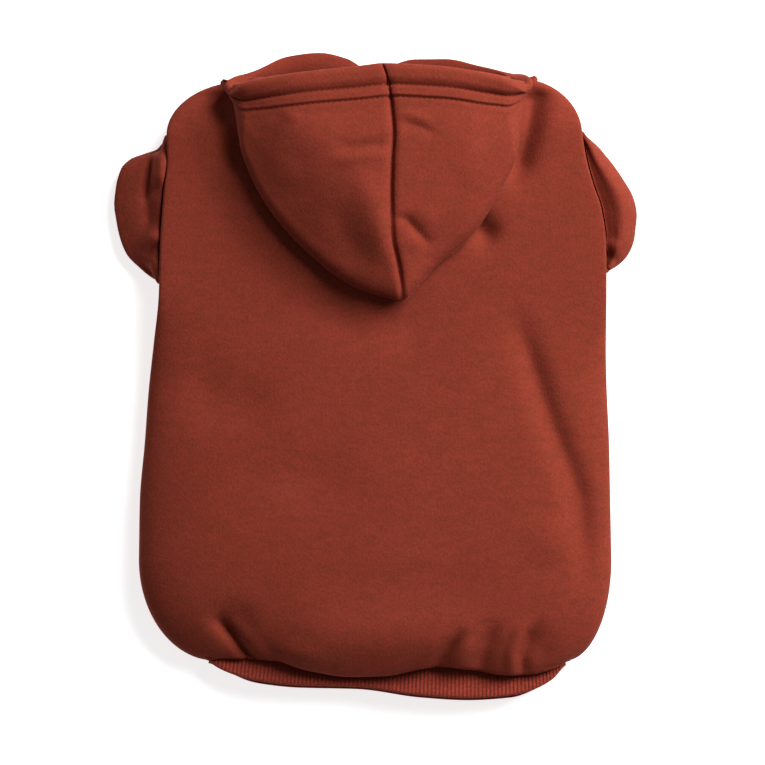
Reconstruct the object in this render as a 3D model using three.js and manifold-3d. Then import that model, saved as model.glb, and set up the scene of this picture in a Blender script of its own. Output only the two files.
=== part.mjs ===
// A dog's fleece hoodie, lying on its belly with the hood thrown back over its back.
// Millimetres, +Z up. The hood end lies at +Y and the waist at -Y, with the garment's left on -X.
// Every piece of cloth is a middle surface, worked out from the sizes and tables below, that is
// given the cloth's thickness on both sides. The back and belly panels share one tube, the two
// halves of the hood share another that turns back on itself, and each sleeve is a flat tube
// that leaves its armhole under the body's edge and is folded back under it.
import * as THREE from "three";
import { mergeVertices } from "three/addons/utils/BufferGeometryUtils.js";
import Module from "manifold-3d";

const wasm = await Module();
wasm.setup();
const { clamp, degToRad, lerp, smoothstep } = THREE.MathUtils;

// Driving dimensions of the body, in millimetres
const bodyWidth = 258; // laid flat, at the widest place above the waist
const backLength = 321; // from the lip over the waistband to the back of the neck
const puff = 26; // height of the back's cloth above the ground, at the middle
const edgeHeight = 10; // height of the body's side fold above the ground
const fleece = 2.4; // thickness of the body, hood and sleeve cloth
const seamGap = 0.3; // space left between pieces that are sewn together
const waistStart = 64; // where the body begins to draw in towards the waist, from the lip
const neckStart = 24; // where it begins to draw in towards the neck, from the neck seam
const seamAcross = 0.62; // where the belly seams lie, as a share of the half width

// Waist: the back's cloth bulges over the waistband and is turned in under its own lip
const waistWidth = 204; // flat width of the waist seam
const waistOffset = 9; // the seam's middle lies this far towards the right
const waistSide = 8.8; // how far up the body the seam's two sides lie
const lipRadius = 2.7; // radius of the fold of the back over the waistband
const lipTuck = 7; // length of cloth turned in beyond that fold
const lipHeight = 19.6; // height of the fold's upper layer
const bandCloth = 3; // thickness of the doubled rib knit
const bandMouthWidth = 184; // flat width of the waistband's free edge
const bandMouthHeight = 10.4; // height of that edge's upper layer
const bandSag = 13.2; // how far the lowest place of that edge hangs below the lip
const bandOffset = 10.5; // that edge's middle lies this far towards the right
const bandUnderSag = 2; // how much further its under layer hangs
const bandShort = 1; // the band's upper layer ends this far short of the tucked cloth's end

// Neck and hood
const neckWidth = 173; // flat width of the neck seam
const neckRise = 22; // height of the back of the neck above the ground
const neckSideHeight = 11; // height of the neck seam's two sides
const neckSideRun = 6.5; // how far those sides stand beyond the back of the neck
const throatRun = -5; // how far the throat seam lies beyond the back of the neck
const hoodWidth = 166; // corner to corner, across the face opening
const hoodOffset = 2.75; // the hood's middle lies this far towards the right
const hoodDepth = 116; // from the neck seam to the hood's tip
const hoodAir = 11; // height of the pocket of air inside the folded hood
const hoodClear = 1; // space between the hood and the back under it
const hoodCrown = 2; // how much higher the middle of each half stands
const seamDip = 2; // depth of the valley along the centre seam
const seamLead = 1.5; // how far the hood's cloth runs straight on from the neck seam
const rimHeight = 42.5; // height of the face opening's upper edge
const hemWidth = 18.7; // depth of the turned hem round the face opening
const hemExtra = 1.7; // thickness that the turned hem adds

// Sleeves
const sleeveThick = 10; // flat thickness of a tucked sleeve, cloth and air together
const sleeveClear = 0.7; // space between a tucked sleeve and what lies on it
const sleeveEndReach = 6.8; // how far a sleeve's two edges stand out past the body
const cuffTuck = 54; // how far the open end lies inside the body's edge
const armholeGap = 0.9; // space between the body's cloth and the end of the sleeve's
const armholeLead = 1; // how far the sleeve's cloth runs straight out of the armhole
const armholeTop = 3; // where the armhole runs round the underside, in degrees below
const armholeFoot = 33; // the body's side fold

const sleeveStack = sleeveThick + sleeveClear; // what the body's edge is lifted by

// A table of named columns, read smoothly along its first column.
function table(columns, rows) {
  const keys = rows.map((row) => row[0]);
  const secant = (c, i) =>
    (rows[i + 1][c] - rows[i][c]) / (keys[i + 1] - keys[i]);
  const slope = (c, i) => {
    if (i === 0) return secant(c, 0);
    if (i === rows.length - 1) return secant(c, i - 1);
    const [before, after] = [secant(c, i - 1), secant(c, i)];
    return before * after <= 0 ? 0 : (2 * before * after) / (before + after);
  };
  return (column, at) => {
    const c = columns.indexOf(column);
    const key = clamp(at, keys[0], keys.at(-1));
    const i = Math.max(1, keys.findIndex((k) => k >= key));
    const span = keys[i] - keys[i - 1];
    const t = (key - keys[i - 1]) / span;
    const rise = rows[i][c] - rows[i - 1][c];
    const [m0, m1] = [slope(c, i - 1) * span, slope(c, i) * span];
    const curve = (m0 + m1 - 2 * rise) * t ** 3 + (3 * rise - 2 * m0 - m1) * t ** 2;
    return rows[i - 1][c] + m0 * t + curve;
  };
}

// Sections of the body: half widths as shares of half the body's width, the back's height as a
// share of the puff, and how far the edges are lifted by the sleeves tucked under them.
const body = table(
  ["along", "left", "right", "top", "lift"],
  [
    [0.2, 1.0, 1.0, 0.93, 0],
    [0.3, 0.996, 1.0, 0.97, 0],
    [0.4, 0.974, 0.996, 1.0, 0],
    [0.51, 0.953, 0.983, 1.0, 0],
    [0.58, 0.93, 0.98, 1.01, 0],
    [0.655, 0.91, 0.981, 1.04, 1],
    [0.74, 0.907, 0.984, 1.07, 1],
    [0.8, 0.899, 0.966, 1.08, 1],
    [0.84, 0.891, 0.932, 1.07, 1],
    [0.885, 0.879, 0.902, 1.04, 1],
    [0.925, 0.881, 0.885, 1.0, 1],
  ],
);

// The back's lip over the waistband: how far it stays short of its lowest place, as a share of
// the waist side's rise, across the half width.
const lip = table(
  ["across", "short"],
  [
    [-0.72, 1.0],
    [-0.604, 1.45],
    [-0.52, 1.2],
    [-0.4, 0.87],
    [-0.27, 0.31],
    [-0.1, 0],
    [0.05, 0.06],
    [0.2, 0.5],
    [0.28, 0.62],
    [0.41, 0.43],
    [0.54, 0.12],
    [0.62, 0.06],
    [0.73, 0.31],
    [0.86, 1.0],
  ],
);

// The waistband's free edge: how far it hangs, as a share of its sag, across its half width.
const bandHang = table(
  ["across", "hang"],
  [
    [-1.0, -0.45],
    [-0.83, 0.12],
    [-0.54, 0.42],
    [-0.19, 0.49],
    [0.18, 0.88],
    [0.45, 1.0],
    [0.735, 0.67],
    [0.92, 0.1],
    [1.0, -0.45],
  ],
);

// Gathers above the lip: valleys that start at the lip and run up the back, leaning sideways.
const gathers = {
  columns: ["across", "lean", "width", "length", "depth"],
  rows: [
    [-0.58, -0.1, 0.045, 0.13, 1.9],
    [-0.36, -0.03, 0.05, 0.07, 0.8],
    [0.3, 0.04, 0.04, 0.1, 1.6],
    [0.46, 0.03, 0.04, 0.12, 1.4],
    [0.64, 0.02, 0.035, 0.12, 1.1],
  ],
};

// The hood round its opening, for each side: turn is 0 at the centre seam, 1 at the corner and
// 2 at the throat. Across is a share of half the hood's width, along a share of its depth from
// the neck seam, and rise a share of the rim's height.
const hoodColumns = ["turn", "rimAcross", "rimAlong", "rise", "foldAcross", "foldAlong"];
const hood = {
  left: table(hoodColumns, [
    [0.0, 0.02, 0.116, 1.0, 0.146, 0.992],
    [0.2, -0.19, 0.097, 1.0, -0.17, 0.915],
    [0.4, -0.424, 0.08, 1.0, -0.5, 0.73],
    [0.6, -0.656, 0.059, 1.0, -0.765, 0.495],
    [0.8, -0.888, 0.03, 0.95, -0.921, 0.226],
    [1.0, -1.0, 0.011, 0.74, -1.0, 0.012],
    [1.15, -0.93, 0.088, 0.56, -0.98, 0],
    [1.3, -0.815, 0.106, 0.42, -0.98, 0],
    [1.5, -0.603, 0.168, 0.28, -0.98, 0],
    [1.7, -0.391, 0.187, 0.21, -0.98, 0],
    [1.85, -0.225, 0.163, 0.16, -0.98, 0],
    [2.0, -0.06, 0.086, 0.11, -0.98, 0],
  ]),
  right: table(hoodColumns, [
    [0.0, 0.02, 0.116, 1.0, 0.146, 0.992],
    [0.2, 0.232, 0.109, 1.0, 0.351, 0.833],
    [0.4, 0.431, 0.099, 1.0, 0.603, 0.677],
    [0.6, 0.637, 0.078, 1.0, 0.782, 0.478],
    [0.8, 0.828, 0.052, 0.95, 0.914, 0.273],
    [1.0, 1.0, 0.002, 0.74, 1.0, 0.027],
    [1.15, 0.955, 0.082, 0.56, 0.98, 0],
    [1.3, 0.855, 0.09, 0.42, 0.98, 0],
    [1.5, 0.656, 0.125, 0.28, 0.98, 0],
    [1.7, 0.437, 0.158, 0.21, 0.98, 0],
    [1.85, 0.239, 0.158, 0.16, 0.98, 0],
    [2.0, -0.06, 0.086, 0.11, 0.98, 0],
  ]),
};

// Each sleeve: its middle and flat width along the body, as shares of the back's length, and how
// far its fold bulges out of the body's edge, as a share of the body's width. The table after it
// spreads the bulge over the share of the sleeve's width, from its lower edge to its upper one.
const sleeveShares = {
  left: { side: -1, middle: 0.7994, width: 0.2555, bulge: 0.0713 },
  right: { side: 1, middle: 0.8115, width: 0.243, bulge: 0.0415 },
};
const sleeveSizes = ({ side, middle, width, bulge }) => ({
  side,
  middle: middle * backLength,
  width: width * backLength,
  bulge: bulge * bodyWidth,
});
const sleeves = {
  left: sleeveSizes(sleeveShares.left),
  right: sleeveSizes(sleeveShares.right),
};
const bulgeColumns = ["share", "left", "right"];
const bulge = table(bulgeColumns, [
  [0, 0, 0],
  [0.1, 0.23, 0.29],
  [0.16, 0.46, 0.5],
  [0.25, 0.68, 0.7],
  [0.36, 0.86, 0.88],
  [0.5, 1.0, 1.0],
  [0.62, 1.0, 0.87],
  [0.7, 0.96, 0.7],
  [0.77, 0.9, 0.56],
  [0.83, 0.67, 0.33],
  [0.9, 0.07, 0.06],
  [1, 0, 0],
]);

// How strongly a closed section is squared off, above and below its side folds.
const topSquareness = 3;
const underSquareness = 4;
const pressed = 1.03; // how much further the underside would sag, if the ground let it

// The share across (-1 to 1) and the share of height (0 to 1) at an angle round a section.
function roundSection(angle) {
  const above = Math.sin(angle) >= 0;
  const power = 2 / (above ? topSquareness : underSquareness);
  const across = Math.sign(Math.cos(angle)) * Math.abs(Math.cos(angle)) ** power;
  const high = Math.abs(Math.sin(angle)) ** power;
  return { above, across, high: above ? high : Math.min(1, pressed * high) };
}

// The angle at which a section reaches a share across, above or below the side folds.
function angleAt(across, above) {
  const squareness = above ? topSquareness : underSquareness;
  const cosine = Math.sign(across) * Math.abs(across) ** (squareness / 2);
  return above ? Math.acos(cosine) : -Math.acos(cosine);
}

// A closed section as a point: its middle, half widths, and the heights of its top, sides, foot.
function sectionPoint(angle, { left, right, middle, top, side, foot }, y) {
  const { above, across, high } = roundSection(angle);
  const x = middle + across * (across < 0 ? left : right);
  const z = side + high * ((above ? top : foot(across)) - side);
  return new THREE.Vector3(x, y, z);
}

// The body's own section at a share along the back.
function bodySection(along) {
  const lift = body("lift", along) * sleeveStack;
  const level = (across) =>
    fleece / 2 + lift * smoothstep(Math.abs(across), 0.34, 0.515);
  return {
    left: (body("left", along) * bodyWidth) / 2 - fleece / 2,
    right: (body("right", along) * bodyWidth) / 2 - fleece / 2,
    middle: 0,
    top: body("top", along) * puff,
    side: edgeHeight + lift,
    foot: level,
  };
}

const waistSection = {
  left: waistWidth / 2,
  right: waistWidth / 2,
  middle: waistOffset,
  top: lipHeight,
  side: lipHeight * 0.41,
  foot: () => fleece / 2,
};

const neckSection = {
  left: neckWidth / 2,
  right: neckWidth / 2,
  middle: hoodOffset,
  top: neckRise,
  side: neckSideHeight,
  foot: () => fleece / 2,
};

// How far the back's height dips into the gathers above the lip.
function gatherDip(x, y) {
  return gathers.rows.reduce((dip, [across, lean, width, length, depth]) => {
    const up = clamp(y / (length * backLength), 0, 1);
    const valley = (across + lean * up) * (bodyWidth / 2);
    const off = (x - valley) / (width * (bodyWidth / 2));
    return dip + depth * (1 - up) ** 1.5 * Math.exp(-off * off);
  }, 0);
}

// How far towards a narrower opening a drawn-in end has come: like a quarter ellipse at the
// sides, and evenly over the middle.
function drawnIn(share, across, end) {
  const ellipse = (1 - Math.sqrt(1 - (end * share) ** 2)) / (1 - Math.sqrt(1 - end ** 2));
  return lerp(share ** 2, ellipse, across ** 4);
}

// The waist end: share 0 at the body's last full section, 1 where the lip's fold begins.
function waistRun(angle, share) {
  const start = waistStart / backLength;
  const from = sectionPoint(angle, bodySection(start), waistStart);
  const to = sectionPoint(angle, waistSection, 0);
  const { above, across } = roundSection(angle);
  const over = above ? smoothstep(Math.sin(angle), 0, 0.5) : 0;
  const acrossBody = to.x / (bodyWidth / 2);
  const lipEnd = lip("short", acrossBody) * waistSide + lipRadius + fleece / 2;
  const underEnd = waistSide + lipRadius;
  const point = new THREE.Vector3(
    lerp(from.x, to.x, drawnIn(share, across, 0.995)),
    lerp(waistStart, lerp(underEnd, lipEnd, over), share),
    lerp(from.z, to.z, share ** 3),
  );
  if (above) point.z -= gatherDip(point.x, point.y) * over;
  return point;
}

// The lip: share 0 where its fold begins, 1 at the end of the cloth turned in under it.
function lipFold(angle, share) {
  const point = waistRun(angle, 1);
  const { above, high } = roundSection(angle);
  const curl = above ? high : 0;
  const over = smoothstep(curl, 0.35, 0.7);
  const foldShare = 0.62;
  const turn = Math.PI * Math.min(1, share / foldShare);
  const tuck = lipTuck * Math.max(0, (share - foldShare) / (1 - foldShare));
  const radius = lipRadius - (above ? gatherDip(point.x, point.y) / 2 : 0);
  const folded = tuck - radius * Math.sin(turn);
  point.y += lerp(-lipRadius * share, folded, over);
  point.z -= curl * radius * (1 - Math.cos(turn));
  return point;
}

// The neck end: share 0 at the shoulders, 1 at the neck seam.
function neckRun(angle, share) {
  const startY = backLength - neckStart;
  const from = sectionPoint(angle, bodySection(startY / backLength), startY);
  const to = sectionPoint(angle, neckSection, 0);
  const { above, across } = roundSection(angle);
  const middleRun = above ? 0 : throatRun;
  const seamY = backLength + lerp(middleRun, neckSideRun, across ** 4);
  const collar = 0.9;
  return new THREE.Vector3(
    lerp(from.x, to.x, drawnIn(Math.min(1, share / collar), across, 0.96)),
    lerp(startY, seamY, share),
    lerp(from.z, to.z, smoothstep(share, 0, 0.94)),
  );
}

// The body's tube: round is the angle round it. Stage 0 to 1 is the turned lip, 1 to 2 the
// waist, 2 to 3 the body and 3 to 4 the neck.
function torso(angle, stage) {
  if (stage < 1) return lipFold(angle, 1 - stage);
  if (stage < 2) return waistRun(angle, 2 - stage);
  if (stage > 3) return neckRun(angle, stage - 3);
  const y = lerp(waistStart, backLength - neckStart, stage - 2);
  const point = sectionPoint(angle, bodySection(y / backLength), y);
  if (Math.sin(angle) > 0) point.z -= gatherDip(point.x, y);
  return point;
}

const stageAt = (y) => 2 + (y - waistStart) / (backLength - neckStart - waistStart);

// The height of the back's middle surface over a place on the ground.
function backHeight(x, y) {
  const along = Math.min(y, backLength - neckStart) / backLength;
  const section = bodySection(along);
  const across = clamp(x / (x < 0 ? section.left : section.right), -0.97, 0.97);
  const high = (1 - Math.abs(across) ** topSquareness) ** (1 / topSquareness);
  return section.side + high * (section.top - section.side);
}

const unit = (v) => v.clone().normalize();
const blend = (a, b, share) => a.clone().lerp(b, share);

// A place on the smooth line through some points, and straight on beyond its two ends.
function pointOn(points, share) {
  const curve = new THREE.CatmullRomCurve3(points, false, "centripetal");
  const within = clamp(share, 0, 1);
  const step = 1e-3;
  if (within === share) return curve.getPoint(share);
  const [end, before] = [curve.getPoint(within), curve.getPoint(Math.abs(within - step))];
  return end.addScaledVector(end.clone().sub(before), Math.abs(share - within) / step);
}

const hoodSteps = 10; // stretches of cloth from the neck seam to the rim

// The hood's cloth from the neck seam to the rim, at one place round the opening: side is
// "left" or "right", and turn as in the hood's tables. Over the back the cloth turns up and
// lies on the back, folds over at the hood's outline and comes back to the rim. At the throat
// it runs straight to the rim.
function hoodLine(side, turn) {
  const read = (column) => hood[side](column, turn);
  const sign = side === "left" ? -1 : 1;
  const across = sign * (turn < 1 ? turn : 2 - turn);
  const angle = angleAt(across, turn < 1);
  const neck = torso(angle, 4);
  const onward = unit(neck.clone().sub(torso(angle, 3.97)));
  const up = new THREE.Vector3(0, 0, 1);
  const place = (acrossShare, y, z) =>
    new THREE.Vector3(hoodOffset + (acrossShare * hoodWidth) / 2, y, z);
  const rimY = backLength + read("rimAlong") * hoodDepth;
  const rim = place(read("rimAcross"), rimY, read("rise") * rimHeight);
  const start = neck.clone().addScaledVector(onward, seamGap * (1 + 3 * across ** 8));

  const throat = smoothstep(turn, 1, 1.5);
  const arrival = unit(new THREE.Vector3(0, lerp(-0.4, 1, throat), lerp(0.9, -0.35, throat)));
  const reach = rim.distanceTo(start);
  const handle = lerp(0.3, 0.35, smoothstep(Math.abs(turn - 1), 0, 0.3)) * reach;
  const direct = new THREE.CubicBezierCurve3(
    start,
    start.clone().addScaledVector(onward, handle),
    rim.clone().addScaledVector(arrival, -0.35 * reach),
    rim,
  ).getPoints(hoodSteps);
  const ahead = start.clone().addScaledVector(onward, seamLead);
  direct[1] = ahead;
  const folding = smoothstep(1 - turn, 0, 0.22);
  if (folding === 0) return direct;

  const layer = (x, y) => backHeight(x, y) + fleece + hoodClear;
  const fold = place(read("foldAcross"), backLength - read("foldAlong") * hoodDepth, 0);
  const foldRadius = (hoodAir + fleece) / 2;
  const lower = (share, back) => {
    const p = blend(neck, fold, share);
    const inward = unit(new THREE.Vector3(neck.x - fold.x, neck.y - fold.y, 0));
    p.addScaledVector(inward, back);
    p.z = layer(p.x, p.y);
    return p;
  };
  const upper = (share, back, height) => {
    const p = blend(rim, fold, share);
    const inward = unit(new THREE.Vector3(rim.x - fold.x, rim.y - fold.y, 0));
    p.addScaledVector(inward, back);
    p.z = layer(p.x, p.y) + height;
    return p;
  };
  const valley = seamDip * (1 - smoothstep(turn, 0, 0.1));
  const crown = hoodCrown * Math.sin(Math.PI * clamp(turn, 0, 1)) - valley;
  const turnRadius = (layer(neck.x, neck.y) - neck.z) / 2;
  const turned = ahead.clone().addScaledVector(onward, turnRadius);
  turned.addScaledVector(up, turnRadius);
  const settled = lower(0, 0);
  const apex = fold.clone();
  apex.z = layer(fold.x, fold.y) + 0.85 * foldRadius;
  const hemStart = hemWidth / Math.max(hemWidth * 1.5, rim.distanceTo(fold));
  const folded = [
    start,
    ahead,
    turned,
    settled,
    lower(0.5, 0),
    lower(1, foldRadius),
    apex,
    upper(1, foldRadius, 1.75 * foldRadius),
    upper(0.5, 0, 2 * foldRadius + crown),
    upper(hemStart, 0, 2 * foldRadius + crown / 2),
    rim.clone().addScaledVector(up, -valley / 2),
  ];
  return direct.map((p, i) => blend(p, folded[i], folding));
}

// The hood's surface: round runs from the throat seam (-2) by the left corner (-1), the centre
// seam (0) and the right corner (1) back to the throat seam (2).
function hoodPoint(round, step) {
  const place = ((round + 6) % 4) - 2;
  const line = hoodLine(place < 0 ? "left" : "right", Math.abs(place));
  return pointOn(line, step / hoodSteps);
}

// A sleeve's tube: round is the angle round its flat section, and step runs from the armhole
// (0), out past the body's edge, round the fold and in to the open end.
const sleeveSteps = 8;

function sleeveLine(side, angle) {
  const { side: sign, middle, width, bulge: most } = sleeves[side];
  const cosine = Math.cos(angle);
  const along = Math.sign(cosine) * Math.abs(cosine) ** 0.7;
  const high = Math.sign(Math.sin(angle)) * Math.abs(Math.sin(angle)) ** 0.6;
  const y = middle + (along * (width - fleece)) / 2;
  const edge = (body(side, y / backLength) * bodyWidth) / 2;
  const foot = lerp(armholeTop, armholeFoot, (1 - high) / 2);
  const onBody = degToRad(sign < 0 ? 180 + foot : -foot);
  const off = (distance) => {
    const p = torso(onBody, stageAt(y));
    return p.addScaledVector(normalAt(torso, onBody, stageAt(y)), distance);
  };
  const half = (sleeveThick - fleece) / 2;
  const outZ = sleeveStack + sleeveThick / 2 + sleeveClear;
  const underZ = sleeveThick / 2;
  const foldX = edge + sleeveEndReach + bulge(side, (along + 1) / 2) * most;
  const apexZ = (outZ + underZ) / 2;
  const at = (x, z, outX, outZShare) =>
    new THREE.Vector3(sign * (x + outX * half * high), y, z + outZShare * half * high);
  const foldBack = foldX - half - (outZ - underZ) / 2;
  return [
    off(fleece / 2 + armholeGap),
    off(fleece / 2 + armholeGap + armholeLead),
    at(Math.max(lerp(edge, foldX, 0.25), edge + fleece), outZ - seamGap, 0.3, 0.95),
    at(Math.max(foldBack + armholeLead, edge + 1.2 * fleece), outZ, 0.2, 1),
    at(foldX - half, apexZ, 1, 0),
    at(foldBack + armholeLead, underZ, 0, -1),
    at(lerp(foldBack, edge - cuffTuck, 0.4), underZ, 0, -1),
    at(lerp(foldBack, edge - cuffTuck, 0.8), underZ, 0, -1),
    at(edge - cuffTuck, underZ, 0, -1),
  ];
}

function sleevePoint(side, angle, step) {
  return pointOn(sleeveLine(side, angle), step / sleeveSteps);
}

// The waistband's tube: share 0 at the waist seam and 1 at the free edge.
function bandPoint(angle, share) {
  const { above, across } = roundSection(angle);
  const inset = (fleece + bandCloth) / 2 + 2 * seamGap;
  const over = above ? smoothstep(Math.sin(angle), 0, 0.5) : 0;
  const seam = {
    left: waistWidth / 2 - inset,
    right: waistWidth / 2 - inset,
    middle: waistOffset,
    top: lipHeight - 2 * lipRadius - inset,
    side: (lipHeight - 2 * lipRadius - inset) * 0.56,
    foot: () => bandCloth / 2,
  };
  const mouth = {
    left: bandMouthWidth / 2,
    right: bandMouthWidth / 2,
    middle: bandOffset,
    top: bandMouthHeight,
    side: bandMouthHeight * 0.56,
    foot: () => bandCloth / 2,
  };
  const from = sectionPoint(angle, seam, 0);
  const to = sectionPoint(angle, mouth, 0);
  const lipEnd = lip("short", from.x / (bodyWidth / 2)) * waistSide;
  const overEnd = lipEnd + lipRadius + fleece / 2 + lipTuck - bandShort;
  const seamY = lerp(waistSide - 5 * seamGap, overEnd, over);
  const underSag = above ? 0 : bandUnderSag * (1 - across ** 2);
  const mouthY = -bandSag * bandHang("hang", across) - underSag;
  return new THREE.Vector3(
    lerp(from.x, to.x, share),
    lerp(seamY, mouthY, share),
    lerp(from.z, to.z, share),
  );
}

// The unit normal of a surface, which faces out of the body's tube.
function normalAt(surface, a, b) {
  const [smallA, smallB] = [0.03, 0.005];
  const alongA = surface(a + smallA, b).sub(surface(a - smallA, b));
  const alongB = surface(a, b + smallB).sub(surface(a, b - smallB));
  return alongB.cross(alongA).normalize();
}

// A closed solid from two grids of points: the cloth's two faces, joined round their edges.
// Each grid is a list of rows, and a closed grid's rows are rings.
function solidBetween(outer, inner, closed) {
  const [rows, columns] = [outer.length, outer[0].length];
  const positions = [...outer.flat(), ...inner.flat()].flatMap((p) => p.toArray());
  const index = (layer, i, j) => layer * rows * columns + i * columns + (j % columns);
  const faces = [];
  const quad = (a, b, c, d) => faces.push(a, b, c, a, c, d);
  const wide = closed ? columns : columns - 1;
  for (let i = 0; i < rows - 1; i++) {
    for (let j = 0; j < wide; j++) {
      quad(index(0, i, j), index(0, i, j + 1), index(0, i + 1, j + 1), index(0, i + 1, j));
      quad(index(1, i, j), index(1, i + 1, j), index(1, i + 1, j + 1), index(1, i, j + 1));
    }
  }
  for (let j = 0; j < wide; j++) {
    const last = rows - 1;
    quad(index(0, 0, j), index(1, 0, j), index(1, 0, j + 1), index(0, 0, j + 1));
    quad(index(0, last, j), index(0, last, j + 1), index(1, last, j + 1), index(1, last, j));
  }
  for (let i = 0; i < rows - 1 && !closed; i++) {
    const last = columns - 1;
    quad(index(0, i, 0), index(0, i + 1, 0), index(1, i + 1, 0), index(1, i, 0));
    quad(index(0, i, last), index(1, i, last), index(1, i + 1, last), index(0, i + 1, last));
  }
  return orient(positions, faces);
}

// Turns every face round if the closed body they make is inside out.
function orient(positions, faces) {
  const corner = (i) => new THREE.Vector3().fromArray(positions, 3 * i);
  let volume = 0;
  for (let i = 0; i < faces.length; i += 3) {
    const [a, b, c] = [faces[i], faces[i + 1], faces[i + 2]].map(corner);
    volume += a.dot(b.cross(c));
  }
  if (volume < 0) faces.reverse();
  const geometry = new THREE.BufferGeometry();
  geometry.setAttribute("position", new THREE.Float32BufferAttribute(positions, 3));
  geometry.setIndex(faces);
  return mergeVertices(geometry, 1e-4);
}

// Cloth of a given thickness about a surface, sampled at stations as(cross) and bs (along).
function cloth(surface, as, bs, thickness, closed) {
  const face = (sign) =>
    bs.map((b) =>
      as.map((a) =>
        surface(a, b).addScaledVector(normalAt(surface, a, b), (sign * thickness(a, b)) / 2),
      ),
    );
  return solidBetween(face(1), face(-1), closed);
}

function solidOf(geometry) {
  return new wasm.Manifold(
    new wasm.Mesh({
      numProp: 3,
      vertProperties: geometry.attributes.position.array,
      triVerts: new Uint32Array(geometry.index.array),
    }),
  );
}

function geometryOf(solid) {
  const mesh = solid.getMesh();
  const geometry = new THREE.BufferGeometry();
  geometry.setAttribute("position", new THREE.BufferAttribute(mesh.vertProperties, 3));
  geometry.setIndex(new THREE.BufferAttribute(mesh.triVerts, 1));
  return geometry;
}

const spread = (from, to, steps) =>
  Array.from({ length: steps + 1 }, (_, i) => lerp(from, to, i / steps));

// The cutter for an armhole: the sleeve's own hollow, where it passes through the body's cloth.
function armholeCutter(side) {
  const deep = 3 * fleece;
  const hollow = (sleeveThick - 2 * fleece) / (sleeveThick - fleece);
  const rings = [-deep, deep].map((distance) =>
    spread(0, 2 * Math.PI, 20)
      .slice(1)
      .map((angle) => {
        const { side: sign, middle, width } = sleeves[side];
        const cosine = Math.cos(angle);
        const along = Math.sign(cosine) * Math.abs(cosine) ** 0.7;
        const high = Math.sign(Math.sin(angle)) * Math.abs(Math.sin(angle)) ** 0.6;
        const y = middle + along * (width / 2 - fleece);
        const foot = lerp(armholeTop, armholeFoot, (1 - high * hollow) / 2);
        const onBody = degToRad(sign < 0 ? 180 + foot : -foot);
        const p = torso(onBody, stageAt(y));
        return p.addScaledVector(normalAt(torso, onBody, stageAt(y)), distance);
      }),
  );
  const count = rings[0].length;
  const centre = (ring) =>
    ring.reduce((sum, p) => sum.add(p), new THREE.Vector3()).divideScalar(count);
  const points = [...rings[0], ...rings[1], centre(rings[0]), centre(rings[1])];
  const faces = [];
  for (let j = 0; j < count; j++) {
    const next = (j + 1) % count;
    faces.push(j, next, count + next, j, count + next, count + j);
    faces.push(2 * count, next, j, 2 * count + 1, count + j, count + next);
  }
  return orient(points.flatMap((p) => p.toArray()), faces);
}

const lipStages = [0, 0.38, 0.5, 0.62, 0.75, 0.88];
const waistStages = [1, 1.12, 1.3, 1.55, 1.8];
const bodyStages = [2, 2.14, 2.28, 2.42, 2.54, 2.65, 2.73, 2.82, 2.91];
const neckStages = [3, 3.28, 3.52, 3.72, 3.9, 4];
const stages = [...lipStages, ...waistStages, ...bodyStages, ...neckStages];
const wall = () => fleece;

function backPanel() {
  const gap = seamGap / neckWidth;
  const seam = angleAt(seamAcross, false) + gap;
  const under = spread(seam, 0, 6).slice(0, -1);
  const over = spread(0, Math.PI, 18);
  const angles = [...under, ...over, ...under.map((a) => Math.PI - a).reverse()];
  let solid = solidOf(cloth(torso, angles, stages, wall, false));
  for (const side of ["left", "right"]) {
    solid = solid.subtract(solidOf(armholeCutter(side)));
  }
  return geometryOf(solid);
}

function bellyPanel() {
  const gap = seamGap / neckWidth;
  const shares = [seamAcross, 0.56, 0.515, 0.46, 0.4, 0.34, 0.2];
  const right = shares.map((share, i) => angleAt(share, false) - (i === 0 ? gap : 0));
  const angles = [...right, -Math.PI / 2, ...right.map((a) => -Math.PI - a).reverse()];
  return cloth(torso, angles.reverse(), stages, wall, false);
}

function hoodHalf(side) {
  const gap = (2 * seamGap) / hoodWidth;
  const turns = [gap, 0.05, 0.1, 0.2, 0.32, 0.45, 0.58, 0.7, 0.8, 0.88, 0.945, 0.985, 1.002]
    .concat([1.02, 1.07, 1.16, 1.3, 1.5, 1.7, 1.86, 2 - gap])
    .map((turn) => (side === "left" ? -turn : turn));
  const steps = [0, 1, 1.5, 2, 2.5, 3, 4, 5, 5.5, 6, 6.5, 7, 8, 9, 9.3, 10];
  const thickness = (round, step) => fleece + hemExtra * smoothstep(step, 8.9, 9.35);
  return cloth(hoodPoint, turns, steps, thickness, false);
}

function sleeve(side) {
  const angles = spread(0, 2 * Math.PI, 18).slice(1);
  const steps = [0, 0.5, 1, 2, 3, 3.5, 4, 4.5, 5, 6, 8];
  const surface = (angle, step) => sleevePoint(side, angle, step);
  return cloth(surface, angles, steps, wall, true);
}

function waistband() {
  const angles = spread(0, 2 * Math.PI, 40).slice(1);
  return cloth(bandPoint, angles, [0, 0.3, 0.6, 0.85, 1], () => bandCloth, true);
}

function cloths(colour, roughness) {
  return new THREE.MeshStandardMaterial({ color: colour, roughness, metalness: 0 });
}

const fleeceRust = 0x8a3b2c;
const ribRust = 0x86352a;
const pieces = {
  back_panel: [backPanel(), cloths(fleeceRust, 0.95)],
  belly_panel: [bellyPanel(), cloths(fleeceRust, 0.95)],
  hood_left: [hoodHalf("left"), cloths(fleeceRust, 0.95)],
  hood_right: [hoodHalf("right"), cloths(fleeceRust, 0.95)],
  sleeve_left: [sleeve("left"), cloths(fleeceRust, 0.95)],
  sleeve_right: [sleeve("right"), cloths(fleeceRust, 0.95)],
  waistband: [waistband(), cloths(ribRust, 0.9)],
};

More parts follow.
